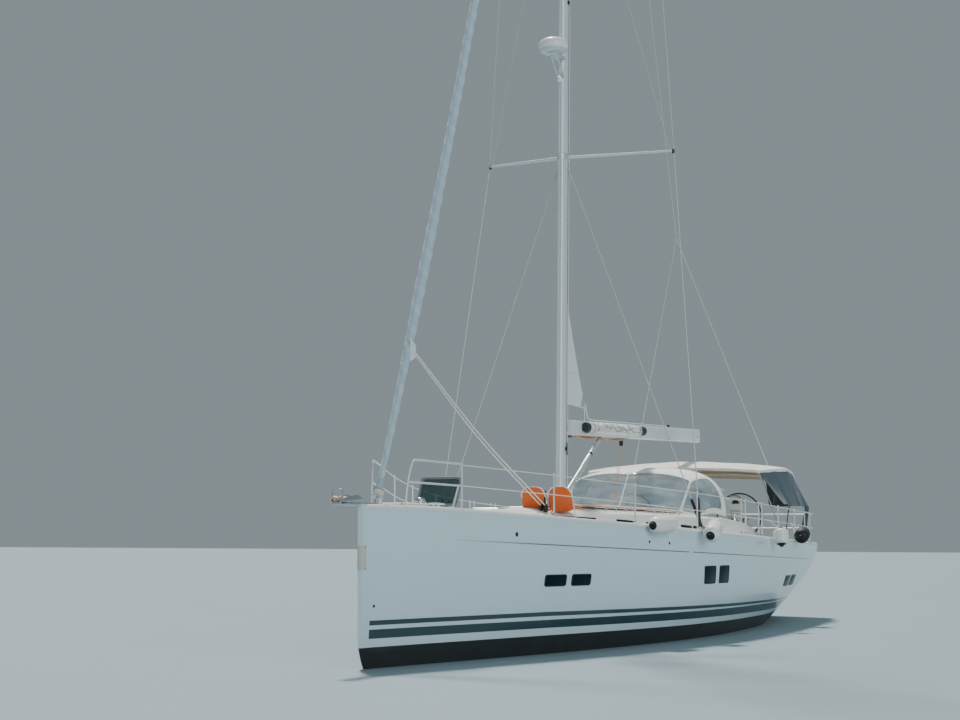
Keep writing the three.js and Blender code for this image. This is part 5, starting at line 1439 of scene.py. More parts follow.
def stuffed(length, width, thick, corner, pressure):
    """A cushion about the origin, blown up by a short cloth simulation with its seam held."""
    outline = rounded_outline(length / 2, width / 2, corner, 7)
    rings = [[(u * k, v * k, -thick / 2) for u, v in outline] for k in (0.05, 0.35, 0.65, 0.88)]
    rings += [[(u, v, z) for u, v in outline] for z in (-thick * 0.36, 0.0, thick * 0.36)]
    rings += [[(u * k, v * k, thick / 2) for u, v in outline] for k in (0.88, 0.65, 0.35, 0.05)]
    piece = lofted(rings)
    apply_modifier(piece, "SUBSURF", levels=2)
    seam = piece.vertex_groups.new(name="seam")
    seam.add([v.index for v in piece.data.vertices if abs(v.co.z) < thick * 0.08], 1.0, "REPLACE")
    only(piece)
    made = piece.modifiers.new("cloth", "CLOTH")
    made.settings.quality = 6
    made.settings.mass = 0.3
    made.settings.tension_stiffness = 25
    made.settings.compression_stiffness = 25
    made.settings.use_pressure = True
    made.settings.uniform_pressure_force = pressure
    made.settings.shrink_min = -0.04
    made.settings.vertex_group_mass = "seam"
    made.settings.effector_weights.gravity = 0.1
    made.collision_settings.use_collision = False
    made.point_cache.frame_end = 14
    for frame_number in range(1, 15):
        bpy.context.scene.frame_set(frame_number)
    bpy.ops.object.modifier_apply(modifier=made.name)
    bpy.context.scene.frame_set(1)
    # The blown-up form is brought back to the cushion's own thickness
    high = max(abs(v.co.z) for v in piece.data.vertices)
    for vertex in piece.data.vertices:
        vertex.co.z *= thick / 2 / high
    return piece


def piping(outline_points, radius):
    """A welt along a closed run of points."""
    points = [Vector(p) for p in outline_points]
    count = len(points)
    rings = []
    for i in range(count):
        along = (points[(i + 1) % count] - points[i - 1]).normalized()
        rings.append(circle(points[i], along, radius, 6))
    return lofted(rings + [rings[0]], caps=False)


# Boom, its gear and what hangs on it
BOOM_LENGTH, BOOM_HALF, BOOM_RISE = 8.15, 0.076, 0.325
BOOM_DEEP, BOOM_GROWTH = 0.125, 0.011
CLEW_STATION = 8.49
neck = mast_point(GOOSENECK_Z, PIN_BACK)
boom_fore, boom_end = neck.x - 0.09, neck.x - BOOM_LENGTH


def boom_axis(x):
    return GOOSENECK_Z + BOOM_RISE * (boom_fore - x) / (boom_fore - boom_end)


def boom_deep(x):
    """Half the depth of the boom, which grows a little towards its end."""
    return BOOM_DEEP + BOOM_GROWTH * (boom_fore - x) / (boom_fore - boom_end)


def sleeve(start, end, outer, inner):
    rows = ((start, outer), (end, outer), (end, inner), (start, inner))
    return close_ends(lofted([circle(place, end - start, radius, 20) for place, radius in rows], caps=False))


def swivel(z, reach):
    """A sleeve round a pin behind the mast, and the plate that joins it to a spar."""
    pin = mast_point(z, PIN_BACK)
    low, high = mast_point(z - 0.065, PIN_BACK), mast_point(z + 0.065, PIN_BACK)
    plate = block((pin.x - reach, -0.018, z - 0.057), (pin.x - 0.018, 0.018, z + 0.057), 0.005)
    return [sleeve(low, high, 0.026, 0.0146), plate]


def boom_ring(x, z, deep, grow):
    """The boom's rounded section about a height, grown all round."""
    return [(x, y, z + rise) for y, rise in rounded_outline(BOOM_HALF + grow, deep + grow, 0.03 + grow, 6)]


def boom_cap(x, z, deep, grow):
    return [(x, y, z + rise) for y, rise in rounded_outline(BOOM_HALF + grow, deep + grow, 0.03, 6)]


def build_boom():
    rings = []
    for k in range(33):
        x = boom_fore + (boom_end - boom_fore) * k / 32
        rings.append(boom_ring(x, boom_axis(x), boom_deep(x), -0.012 if k in (0, 32) else 0.0))
    settle(lofted(rings), "boom_section", BOOM_PAINT, body="boom_set", stands_for=["boom"], slot="boom",
           smooth=40)
    track = lofted([[(x, y, boom_axis(x) + boom_deep(x) + z) for y, z in
                     ((-0.02, -0.004), (0.02, -0.004), (0.02, 0.008), (-0.02, 0.008))]
                    for x in (boom_fore - 0.4, boom_end + 0.35)])
    end = boom_end + 0.03
    cap = lofted([boom_cap(x, boom_axis(end), BOOM_DEEP + BOOM_GROWTH, grow) for x, grow in
                  ((end + 0.03, 0.002), (boom_end - 0.004, 0.002), (boom_end - 0.012, -0.006))])
    marks = [spun([(0.014, 0), (0.014, 0.006), (0.004, 0.008)],
                  (boom_end + 0.16, side * BOOM_HALF, boom_axis(end) - 0.02), (0, side, 0), 14)
             for side in (1, -1)]
    front = lofted([boom_cap(x, GOOSENECK_Z, BOOM_DEEP, grow) for x, grow in
                    ((boom_fore - 0.02, 0.003), (boom_fore + 0.004, 0.003), (boom_fore + 0.01, -0.01))])
    tang = block((boom_fore - 0.14, -0.03, 3.262), (boom_fore - 0.01, 0.03, 3.3), 0.008)
    settle(fuse([track] + swivel(GOOSENECK_Z, 0.11)), "boom_neck", STEEL, body="boom_set", slot="stainless")
    settle(fuse([tang] + marks), "boom_fore_fitting", BLACK, body="boom_set")
    settle(fuse([cap, front]), "boom_end_caps", BOOM_PAINT, body="boom_set")
    lines = []
    for k, y in enumerate((-0.045, -0.018, 0.012, 0.04)):
        points = [(aft(s), y + 0.012 * math.sin(k + n), boom_axis(aft(s)) - boom_deep(aft(s)) - 0.012 - sag)
                  for n, (s, sag) in enumerate(((8.0, 0), (8.5, 0.012 * k), (9.2, 0.01),
                                                (10.0, 0.02 + 0.006 * k), (10.8, 0.0)))]
        lines.append(tube(points, 0.011, 60, 7))
    settle(fuse(lines), "boom_reef_lines", TAN_ROPE, body="boom_set")
    top = [(aft(s), 0, z) for s, z in ((CLEW_STATION + 0.02, 3.86), (8.58, 3.72), (8.64, 3.645),
                                       (8.8, 3.628))]
    top += [(aft(s), 0.004, boom_axis(aft(s)) + 0.155) for s in (9.5, 11.5, 13.5)]
    settle(tube(top, 0.009, 60, 8), "outhaul_line", WHITE_ROPE, body="boom_set")
    z = boom_axis(aft(13.5))
    hook = block((aft(13.6), -0.012, z + 0.13), (aft(13.47), 0.025, z + 0.185), 0.008)
    settle(hook, "outhaul_block", BLACK, body="boom_set")


def build_sheet_tackle():
    top = Vector((aft(10.5), 0, boom_axis(aft(10.5)) - 0.13))
    upper = block_at(top, 0.035, 0.03, -0.14, -0.03, 0.014, 3)
    strop = tube([top + Vector((x, 0, z)) for x, z in
                  ((-0.05, 0), (-0.02, -0.06), (0.02, -0.06), (0.05, 0))], 0.009, 16, 8)
    foot = on_roof(10.08, 0.0, 0.02)
    lower = block_at(foot, 0.035, 0.04, 0.0, 0.1, 0.014, 3)
    eye = spun([(0.05, -0.022), (0.05, -0.012), (0.02, -0.008), (0.015, 0.02)], foot, sides=20)
    falls = [tube([foot + Vector((0.0, y * 1.2, 0.08)), (foot + top) / 2 + Vector((0, y * 1.1, 0)),
                   top + Vector((0, y, -0.1))], 0.0055, 24, 7) for y in (-0.016, 0.014)]
    settle(upper, "mainsheet_upper_block", BLACK, body="boom_set")
    settle(strop, "mainsheet_strop", WHITE_ROPE, body="boom_set")
    settle(fuse([lower, eye]), "mainsheet_lower_block", BLACK)
    lines = settle(fuse(falls), "mainsheet_falls", TAN_ROPE, body=None)
    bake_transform(lines)


def build_vang():
    foot = mast_point(VANG_Z, PIN_BACK)
    head_x = foot.x - 1.8
    head = Vector((head_x, 0, boom_axis(head_x) - BOOM_DEEP - 0.03))
    along = (head - foot).normalized()

    def turned(rows):
        return lofted([circle(foot.lerp(head, t), along, r, 24) for t, r in rows])
    rod = turned(((0.02, 0.03), (0.5, 0.03)))
    case = turned(((0.47, 0.032), (0.48, 0.039), (0.97, 0.039), (0.985, 0.03)))
    settle(fuse([rod, case] + swivel(VANG_Z, 0.06)), "vang_tube", SPAR, body="boom_set", stands_for=["vang"],
           slot="spar")
    band = turned(((0.685, 0.04), (0.688, 0.043), (0.708, 0.043), (0.711, 0.04)))
    under = boom_axis(head_x) - boom_deep(head_x)
    lug = block((head_x - 0.06, -0.022, head.z - 0.03), (head_x + 0.06, 0.022, under + 0.004), 0.008)
    settle(fuse([band, lug]), "vang_fittings", BLACK, body="boom_set")
    purchase = [tube([foot.lerp(head, 0.09) + Vector((0.02, y, -0.07)),
                      foot.lerp(head, 0.3) + Vector((0, y, -0.06)),
                      foot.lerp(head, 0.55) + Vector((0, y, -0.05))], 0.006, 16, 6)
                for y in (-0.03, 0.0, 0.03)]
    settle(fuse(purchase), "vang_purchase", WHITE_ROPE, body="boom_set")


def build_mainsail_clew():
    luff_high, luff_low = mast_point(5.72, 0.146), mast_point(3.81, 0.146)
    clew = Vector((aft(CLEW_STATION), 0, 3.8))

    def place(u, v):
        luff = luff_low.lerp(luff_high, v)
        leech = (clew.lerp(luff_high + Vector((-0.006, 0, 0)), v)
                 + Vector((0.055 * math.sin(math.pi * v), 0, 0)))
        if v < 0.04:
            leech = clew + Vector((0, 0, 0.07 * v / 0.04))
        spot = luff.lerp(leech, u)
        ripple = 0.0035 * math.sin(u * 9 + v * 14) * math.sin(math.pi * min(u * 1.2, 1))
        return spot + Vector((0, ripple, 0))
    sail = sheet_of(place, 36, 60)
    apply_modifier(sail, "SOLIDIFY", thickness=0.012, offset=0.0)
    made = woven("mainsail_cloth", tone(226, 231, 233), tone(204, 212, 216), 0.65)
    _, _, z = made.axes()
    seam = 1 - z.wave(0.62).over(0.03, 0.008)
    made.put(Base_Color=made.mix(
        seam * 0.5, made.mix(made.noise(3.0, 4.0), tone(228, 233, 235), tone(206, 214, 218)),
        tone(168, 178, 184)))
    settle(sail, "mainsail_corner", made, body="boom_set", stands_for=["mainsail_clew"], slot="sail",
           smooth=60)
    corners = ((0.0, 0.0), (0.0, 0.11), (0.15, 0.2), (0.24, 0.01))
    patches = [lofted([[(clew.x + u, y, clew.z + 0.01 + v) for u, v in corners]
                       for y in (side * 0.005, side * 0.0095)]) for side in (1, -1)]
    settle(fuse(patches), "mainsail_clew_patch", GREY_CANVAS, body="boom_set")
    ring = spun([(0.02, -0.014), (0.034, -0.014), (0.034, 0.014), (0.02, 0.014)],
                clew + Vector((0.045, 0, 0.05)), (0, 1, 0), 20)
    x = aft(CLEW_STATION - 0.025)
    shackle = bar((x, 0, boom_axis(x) + 0.12), (x, 0, 3.84), 0.008)
    settle(fuse([ring, shackle]), "mainsail_shackle", RAIL_STEEL, body="boom_set")


# Rolled cover on the port side of the boom. Columns of its shape: share of its length, share of its full size
ROLL_FORE, ROLL_BACK, ROLL_ROWS = 8.15, 11.4, 110
ROLL_SHAPE = [(0, 0.5), (0.04, 0.85), (0.3, 1), (0.7, 0.95), (0.96, 0.8), (1, 0.4)]


def build_bundle():
    rings = []
    for k in range(ROLL_ROWS + 1):
        t = k / ROLL_ROWS
        x = aft(ROLL_FORE + (ROLL_BACK - ROLL_FORE) * t)
        share = column(ROLL_SHAPE, 1, t)
        tied = 1 - 0.2 * max(0.0, 1 - abs(((t * 5 + 0.5) % 1) - 0.5) / 0.06)
        ring = []
        for i, angle in enumerate(turns(24)):
            crumple = (0.06 * math.sin(5 * angle + 31 * t) + 0.05 * math.sin(3 * angle - 57 * t + 1.3)
                       + 0.035 * math.sin(8 * angle + 90 * t)) * tied
            y = BOOM_HALF + 0.05 + 0.07 * share * tied * (0.96 + crumple) * math.cos(angle)
            z = boom_axis(x) + 0.02 + 0.095 * share * tied * (0.96 + crumple) * math.sin(angle)
            ring.append((x, max(y, BOOM_HALF + 0.001 + 0.004 * abs(math.sin(9 * t + i))), z))
        rings.append(ring)
    roll = lofted(rings)
    # Painted shade: grey patches stand for the shadow in the crumples of the white cover
    made = woven("crumpled_cover", tone(232, 234, 232), tone(150, 158, 162), 0.8, folds=1.0)
    made.put(Base_Color=made.mix(made.noise(14.0, 5.0, (1, 1, 2)).over(0.54, 0.07), tone(236, 237, 234),
                                 tone(128, 138, 144)))
    settle(roll, "boom_cover_roll", made, body="boom_set", stands_for=["boom_bundle"], slot="sail", smooth=50)
    ends = []
    for s0, s1 in ((8.1, 8.25), (11.23, 11.45)):
        a, b = aft(s0), aft(s1)
        ends.append(lofted([circle((x, BOOM_HALF + 0.06, boom_axis(x) + 0.015), (1, 0, 0), r, 20, 1.25)
                            for x, r in ((a, 0.052), (a - 0.01, 0.066), (b + 0.01, 0.068), (b, 0.052))]))
        for vertex in ends[-1].data.vertices:
            vertex.co.y = max(vertex.co.y, BOOM_HALF + 0.001)
    settle(fuse(ends), "boom_cover_ends", ROLL_ENDS, body="boom_set")
    section = ((-0.002, 0), (0.06, 0.012), (0.1, 0.05), (0.104, 0.048), (0.064, 0.006), (-0.002, -0.008))
    shelf = lofted([[(x, BOOM_HALF + y, boom_axis(x) - 0.085 + z) for y, z in section]
                    for x in (aft(8.3), aft(9.7), aft(11.2))])
    settle(shelf, "boom_cover_shelf", BOOM_PAINT, body="boom_set")
    ties = []
    for s in (8.48, 9.13, 9.78, 10.43, 11.08):
        x = aft(s)
        loop = [(x, max(BOOM_HALF + 0.05 + 0.066 * math.cos(a), BOOM_HALF + 0.004),
                 boom_axis(x) + 0.018 + 0.088 * math.sin(a)) for a in turns(28)]
        ties.append(piping(loop, 0.006))
    settle(fuse(ties), "boom_cover_ties", GREY_ROPE, body="boom_set")


build_boom()
build_sheet_tackle()
build_vang()
build_mainsail_clew()
build_bundle()


# Radar on the front of the mast
def build_radar():
    place = mast_point(RADAR_Z, -0.5)
    dome = spun([(0.16, 0.006), (0.2, 0.01), (0.235, 0.045), (0.25, 0.075), (0.25, 0.1), (0.24, 0.15),
                 (0.215, 0.19), (0.16, 0.225), (0.08, 0.238), (0.0, 0.241)], place, sides=48)
    base = spun([(0.12, -0.004), (0.2, 0.0), (0.235, 0.035), (0.236, 0.04)], place, sides=48)
    shelf = block((mast_point(RADAR_Z).x + 0.125, -0.08, RADAR_Z - 0.026),
                  (place.x + 0.06, 0.08, RADAR_Z + 0.003), 0.006)
    braces = [bar((place.x - 0.02, y, RADAR_Z - 0.02), mast_point(RADAR_Z - 0.33, -0.125, y), 0.014)
              for y in (-0.05, 0.05)]
    settle(dome, "radar_dome", WHITE_PLASTIC, stands_for=["radar"], slot="radar")
    settle(fuse([shelf, base] + braces), "radar_bracket", SPAR)


build_radar()


# Bow roller, windlass and deck gear. The roller lies to starboard of the centreline: its ends as
# stations, its sides as breadths, and the distance of its wheels from its nose
ROLLER = {"back": 0.32, "nose": -0.56, "sides": (-0.13, 0.01), "wheels": (0.07, 0.33)}


def build_roller():
    z = deck_z(0) + 0.0003
    x0, x1 = aft(ROLLER["back"]), aft(ROLLER["nose"])
    near, far = ROLLER["sides"]
    plate = block((x0, near, z), (x1 - 0.02, far, z + 0.04), 0.004)
    outline = [(aft(0.15), 0.01), (aft(0.08), 0.09), (aft(-0.1), 0.135), (x1 - 0.09, 0.135), (x1, 0.07),
               (x1 - 0.01, 0.005)]
    cheeks = []
    for inner in (near, far - 0.01):
        cheek = lofted([[(x, y, z + h) for x, h in outline] for y in (inner, inner + 0.01)])
        cheeks.append(apply_modifier(cheek, "BEVEL", width=0.0025, segments=2))
    strap = block((x0, near, z - 0.006), (aft(0.1), far, z + 0.003), 0.002)
    hoop = tube([(x1 - 0.06, y, z + h) for y, h in
                 ((near + 0.004, 0.1), (near + 0.01, 0.18), (far - 0.01, 0.18), (far - 0.004, 0.1))],
                0.007, 18, 8)
    pins = [bar((x1 - b, near - 0.008, z + 0.07), (x1 - b, far + 0.008, z + 0.07), 0.012)
            for b in ROLLER["wheels"]]
    settle(fuse([plate, strap, hoop] + cheeks + pins), "bow_roller_frame", STEEL, stands_for=["bow_roller"],
           slot="stainless")
    wheels = [spun([(0.024, -0.054), (0.038, -0.05), (0.037, -0.03), (0.028, -0.006), (0.028, 0.006),
                    (0.037, 0.03), (0.038, 0.05), (0.024, 0.054)],
                   (x1 - b, (near + far) / 2, z + 0.07), (0, 1, 0), 28)
              for b in ROLLER["wheels"]]
    settle(fuse(wheels), "bow_roller_wheels", ROLLER_TAN)


def build_windlass():
    place = on_deck(1.75, 0)
    base = spun([(0.11, -0.02), (0.11, 0.018), (0.1, 0.03), (0.08, 0.04)], place, sides=36)
    drum = spun([(0.075, 0.035), (0.06, 0.06), (0.055, 0.08), (0.062, 0.1), (0.074, 0.108), (0.074, 0.12),
                 (0.058, 0.14), (0.03, 0.15), (0.0, 0.151)], place, sides=36)
    teeth = []
    for k in range(6):
        tooth = block((0.062, -0.008, 0.05), (0.078, 0.008, 0.092), 0.003)
        teeth.append(placed(tooth, Matrix.Translation(place) @ Matrix.Rotation(math.radians(60 * k), 4, "Z")))
    settle(fuse([base, drum] + teeth), "windlass_body", STEEL, stands_for=["windlass"], slot="stainless")


def horn_cleat(place, along):
    along = Vector(along).normalized()
    legs = [bar(place + along * h, place + along * h + Vector((0, 0, 0.05)), 0.014, 0.012)
            for h in (-0.045, 0.045)]
    horn = tube([place + along * h + Vector((0, 0, z)) for h, z in
                 ((-0.16, 0.055), (-0.08, 0.058), (0.08, 0.058), (0.16, 0.055))], 0.013, 20, 10,
                radii=lambda t: 0.007 + 0.007 * math.sin(math.pi * t) ** 0.5)
    return legs + [horn]


def build_deck_gear():
    cleats = []
    for station, inset in ((1.39, 0.12), (8.2, 0.12), (15.95, 0.16)):
        half = half_breadth(station)
        slope = (half_breadth(station + 0.2) - half_breadth(station - 0.2)) / 0.4
        cleats += horn_cleat(on_deck(station, half - inset, -0.004), (-1, slope, 0))
    both_sides(fuse(cleats), "horn_cleats", RAIL_STEEL)
    track = lofted([[on_deck(s, half_breadth(s) - 0.5 + y, z) for y, z in
                     ((-0.016, -0.003), (-0.016, 0.02), (0.016, 0.02), (0.016, -0.003))]
                    for s in (8.9 + 0.2 * k for k in range(10))])
    car = block(on_deck(9.7, half_breadth(9.7) - 0.525, 0.018), on_deck(9.5, half_breadth(9.5) - 0.47, 0.045),
                0.008)
    sheave = spun([(0.045, -0.016), (0.05, -0.012), (0.04, 0.0), (0.05, 0.012), (0.045, 0.016)],
                  on_deck(9.6, half_breadth(9.6) - 0.5, 0.09), (0, 1, 0), 24)
    both_sides(fuse([track, car, sheave]), "genoa_tracks", BLACK)
    fillers = [spun([(0.035, -0.002), (0.034, 0.004), (0.01, 0.005)],
                    on_deck(s, half_breadth(s) - 0.3, 0), sides=20)
               for s in (9.1, 12.6)]
    bases = []
    for station in STANCHIONS:
        bases.append(spun([(0.032, -0.006), (0.032, 0.006), (0.022, 0.012), (0.0165, 0.05), (0.0132, 0.055)],
                          rail_point(station, 0.0), sides=16))
    both_sides(fuse(fillers + bases), "stanchion_bases", STEEL)
    clutches, lines = [], []
    for n in range(4):
        y = 0.5 + 0.075 * n
        spot = on_roof(10.0, y)
        clutches.append(block_at(spot, 0.11, 0.03, -0.01, 0.05, 0.012, 3))
        path = [on_roof(7.42, 0.1 + 0.02 * n, 0.012), on_roof(7.7, 0.3 + 0.03 * n, 0.012)]
        path += [on_roof(s, 0.36 + (y - 0.36) * min((s - 7.7) / 1.2, 1.0), 0.012)
                 for s in (8.3, 8.9, 9.4, 9.98)]
        lines.append(tube(path, 0.007, 44, 7))
    both_sides(fuse(clutches), "rope_clutches", BLACK)
    both_sides(fuse(lines), "roof_lines", GREY_ROPE)
    grabs = []
    for fore, back in ((6.3, 7.6), (8.0, 9.5)):
        stations = [fore + (back - fore) * k / 4 for k in range(5)]
        for a, b in zip(stations, stations[1:]):
            y0, y1 = (column(COACHROOF, 1, s) - 0.27 for s in (a, b))
            grabs.append(tube([on_roof(a, y0, -0.003), on_roof(a + 0.03, y0, 0.05),
                               on_roof(b - 0.03, y1, 0.05), on_roof(b, y1, -0.003)], 0.012, 18, 8))
    both_sides(fuse(grabs), "grab_rails", STEEL)


# Guard rails. Heights are above the deck, and places along the boat are stations
RAIL_TOP, RAIL_MID, RAIL_R, RAIL_INSET = 0.595, 0.312, 0.013, 0.06
PULPIT = {"fore": 0.785, "fore_top": 0.915, "bend": 1.3, "back": 1.775}
STANCHIONS = [3.55, 5.45, 7.33, 9.33, 9.56, 10.42, 10.65, 11.9, 13.5]
WIRE_STOPS = [PULPIT["back"] + 0.014] + STANCHIONS + [14.786]


def rail_point(station, lift):
    return on_deck(station, half_breadth(station) - RAIL_INSET, lift)


def wire_point(station, lift):
    k = max(i for i, stop in enumerate(WIRE_STOPS[:-1]) if stop <= station)
    t = (station - WIRE_STOPS[k]) / (WIRE_STOPS[k + 1] - WIRE_STOPS[k])
    return rail_point(WIRE_STOPS[k], lift).lerp(rail_point(WIRE_STOPS[k + 1], lift), t)


def build_rails():
    fore, fore_top, back = PULPIT["fore"], PULPIT["fore_top"], PULPIT["back"]
    top = [rail_point(s, lift) for s, lift in
           ((fore, 0.0), (fore + 0.04, 0.32), (fore_top - 0.02, 0.55), (fore_top + 0.06, RAIL_TOP),
            (PULPIT["bend"], RAIL_TOP), (back, RAIL_TOP))]
    pieces = [tube(top, RAIL_R, 60, 14),
              bar(rail_point(back, 0), rail_point(back, RAIL_TOP + 0.008), RAIL_R, sides=14),
              bar(rail_point(fore + 0.045, RAIL_MID), rail_point(back, RAIL_MID), RAIL_R, sides=14),
              bar(rail_point(back - 0.17, 0), rail_point(back - 0.06, RAIL_MID), RAIL_R, sides=14)]
    pieces += [spun([(0.032, -0.006), (0.032, 0.006), (0.016, 0.02)], rail_point(s, 0), sides=16)
               for s in (fore, back, back - 0.17)]
    both_sides(fuse(pieces), "pulpit_frame", RAIL_STEEL, stands_for=["pulpit"], slot="stainless")

    posts = [bar(rail_point(s, 0), rail_point(s, RAIL_TOP), RAIL_R, 0.0115, 14) for s in STANCHIONS]
    caps = [spun([(0.0125, 0.0), (0.0135, 0.004), (0.0125, 0.016), (0.004, 0.02)],
                 rail_point(s, RAIL_TOP - 0.004), sides=14)
            for s in STANCHIONS]
    wires = []
    for lift in (RAIL_TOP - 0.012, RAIL_MID):
        for a, b in zip(WIRE_STOPS, WIRE_STOPS[1:]):
            wires.append(bar(rail_point(a, lift), rail_point(b, lift), 0.0062, sides=8))
    both_sides(fuse(posts + caps), "guard_posts", RAIL_STEEL, stands_for=["lifelines"], slot="stainless")
    both_sides(fuse(wires), "guard_wires", CREAM_WIRE, slot="wire")

    corner_y = half_breadth(16.5) - RAIL_INSET - 0.09
    corner_z = deck_z(16.5, corner_y)

    def rail(lift):
        return [rail_point(14.8, lift), rail_point(15.6, lift), rail_point(16.25, lift),
                (aft(16.5), corner_y, corner_z + lift), (aft(16.58), corner_y - 0.33, corner_z + lift),
                (aft(16.6), 0.9, corner_z + lift), (aft(16.6), 0.48, corner_z + lift)]
    pieces = [tube(rail(RAIL_TOP), RAIL_R, 90, 14), tube(rail(RAIL_MID), RAIL_R * 0.8, 90, 12)]
    feet = [rail_point(14.8, 0), rail_point(15.7, 0), Vector((aft(16.5), corner_y, corner_z)),
            Vector((aft(16.6), 0.48, deck_z(16.6, 0.48)))]
    pieces += [bar(f, f + Vector((0, 0, RAIL_TOP + (0.008 if n in (0, 3) else 0))), RAIL_R, sides=14)
               for n, f in enumerate(feet)]
    pieces += [spun([(0.032, -0.01), (0.032, 0.006), (0.016, 0.02)], f, sides=16) for f in feet]
    both_sides(fuse(pieces), "pushpit_frame", RAIL_STEEL, stands_for=["pushpit"], slot="stainless")


build_roller()
build_windlass()
build_rails()
build_deck_gear()


# Sprayhood: one skin with clear panes, over the front of the cockpit. Front and back are stations, half
# its half breadth, and crown and foot are heights
HOOD = {"front": 10.26, "back": 12.4, "half": 1.43, "crown": 2.93, "foot": 1.99}


def hood_point(u, v, inward=0.0):
    """u runs from the port foot over the top to the other foot, and v from the aft arch to the front."""
    angle = 0.02 + (math.pi - 0.04) * u
    across = math.copysign(abs(math.cos(angle)) ** (2 / 3), math.cos(angle))
    up = abs(math.sin(angle)) ** (2 / 3)
    half, crown = HOOD["half"] - inward, HOOD["crown"] - inward
    side = abs(across) ** 2.4
    front = HOOD["front"] + 0.48 * side
    roof = HOOD["foot"] + 0.06 * (1 - side)
    top = roof + (crown - roof) * up
    rows = [(HOOD["back"], top - 0.04 * (1 - up), 1.0), (HOOD["back"] - 0.7, top - 0.015 * up, 1.0),
            (HOOD["front"] + 0.7 + 0.25 * side, roof + (crown - 0.13 - roof) * up, 0.985),
            (front + inward, roof + 0.012 * up, 0.93)]
    knots = [0.0, 0.3, 0.6, 1.0]
    k = 0 if v < 0.3 else 1 if v < 0.6 else 2
    t = (v - knots[k]) / (knots[k + 1] - knots[k])
    before, a, b, after = (rows[min(max(i, 0), 3)] for i in (k - 1, k, k + 1, k + 2))
    round_off = 0.45

    def run(c):
        m0 = (b[c] - before[c]) * 0.5 * round_off if k else (b[c] - a[c])
        m1 = (after[c] - a[c]) * 0.5 * round_off if k < 2 else (b[c] - a[c])
        linear = a[c] + (b[c] - a[c]) * t
        return linear * 0.45 + cubic(t, a[c], m0, b[c], m1) * 0.55
    return Vector((aft(run(0)), across * half * run(2), run(1)))


# Panes of the hood. Columns: low and high share across it, low and high share along it
HOOD_PANES = [
    (0.02, 0.236, 0.1, 0.955), (0.252, 0.4992, 0.6, 0.965), (0.5008, 0.748, 0.6, 0.965),
    (0.764, 0.98, 0.1, 0.955),
]
PANE_CORNER = 0.036


def hood_finish():
    made = Finish("sprayhood_skin", tone(236, 238, 236), 0.8)
    u, v, _ = made.axes("UV")
    panes = None
    for u0, u1, v0, v1 in HOOD_PANES:
        wide, high = (u1 - u0) / 2, (v1 - v0) / 2
        # The hood is three times as wide as it is long, so its corners are narrower in u
        du = (abs(u - (u0 + wide)) - (wide - PANE_CORNER / 3)).greater(0.0) * 3.0
        dv = (abs(v - (v0 + high)) - (high - PANE_CORNER)).greater(0.0)
        inside = 1 - (du * du + dv * dv).over(PANE_CORNER * PANE_CORNER, 0.0002)
        panes = inside if panes is None else panes.greater(inside)
    weave = plain_weave(made)
    shade = made.noise(2.2, 4.0).over(0.5, 0.3)
    canvas = made.mix(shade * 0.4, tone(240, 241, 238), tone(214, 219, 220))
    vinyl = made.mix(made.noise(3.1, 4.0, (1, 0.6, 2)).over(0.52, 0.2), tone(118, 140, 150),
                     tone(190, 204, 210))
    made.put(Base_Color=made.mix(panes, canvas, vinyl), Roughness=0.82 - panes * 0.72, Alpha=1 - panes * 0.56,
             Coat_Weight=panes * 0.5)
    made.bump(weave * 0.12 * (1 - panes) + made.noise(3.0, 3.0) * (1 + panes * 2), 0.006, 0.5)
    return made


def build_hood():
    piece = sheet_of(hood_point, 72, 44)
    for vertex in piece.data.vertices:
        vertex.co.z += 0.004 * math.sin(vertex.co.y * 9) * math.sin(vertex.co.x * 7)
    apply_modifier(piece, "SOLIDIFY", thickness=0.006, offset=-1.0)
    settle(piece, "sprayhood_skin", hood_finish(), stands_for=["sprayhood"], slot="canvas", smooth=60)
    bows = []
    for v in (0.02, 0.3, 0.6):
        points = [hood_point(k / 16, v, 0.02) + Vector((0, 0, -0.006)) for k in range(17)]
        bows.append(tube(points, 0.0115, 90, 10))
    settle(fuse(bows), "sprayhood_bows", STEEL, slot="stainless")
    # Welt over the aft arch, and the seams between the panes
    rim = tube([hood_point(k / 24, 0.0) for k in range(25)], 0.009, 110, 8)
    seams = []
    for u in (0.248, 0.5, 0.752):
        path = [hood_point(u, v) + Vector((0, 0, 0.001)) for v in (0.02, 0.2, 0.4, 0.6, 0.75, 0.88, 0.99)]
        seams.append(tube(path, 0.006, 50, 6, flat=0.5))
    settle(fuse([rim] + seams), "sprayhood_welts", CANVAS, slot="canvas")

    def flap(u, v):
        rim_point = hood_point(0.012 + 0.235 * u, 0.0)
        fold = 0.028 * math.sin(u * 22 + 1.5) * v + 0.012 * math.sin(u * 47) * v
        reach = 0.22 + 0.34 * math.sin(math.pi * min(u * 0.9 + 0.2, 1.0))
        return rim_point + Vector((-reach * v, -0.02 - 0.05 * v * u + fold, -0.05 * v * (1 - u)))
    cloth("sprayhood_flap", flap, 60, 16, GREY_CANVAS, "hung", ["sprayhood_skin"], slot="canvas")


build_hood()

# Bimini. Columns: station, half breadth, height of the crown, height of the edge
BIMINI = [
    (13.8, 1.74, 3.0, 2.935), (14.35, 1.93, 3.11, 2.985), (14.9, 2.06, 3.165, 3.015),
    (15.4, 2.06, 3.105, 2.97), (15.7, 2.045, 3.01, 2.89), (15.88, 2.03, 2.92, 2.82),
]
BIMINI_FORE, BIMINI_BACK = BIMINI[0][0], BIMINI[-1][0]
HEM, HEM_SHARE = 0.07, 0.06
TUBE_DROP = 0.044


def bimini_at(station, share):
    """A point of the top, share 0 at the crown and 1 at the port edge."""
    half, crown, edge = (column(BIMINI, c, station) for c in (1, 2, 3))
    return Vector((aft(station), half * share, crown - (crown - edge) * share * share))


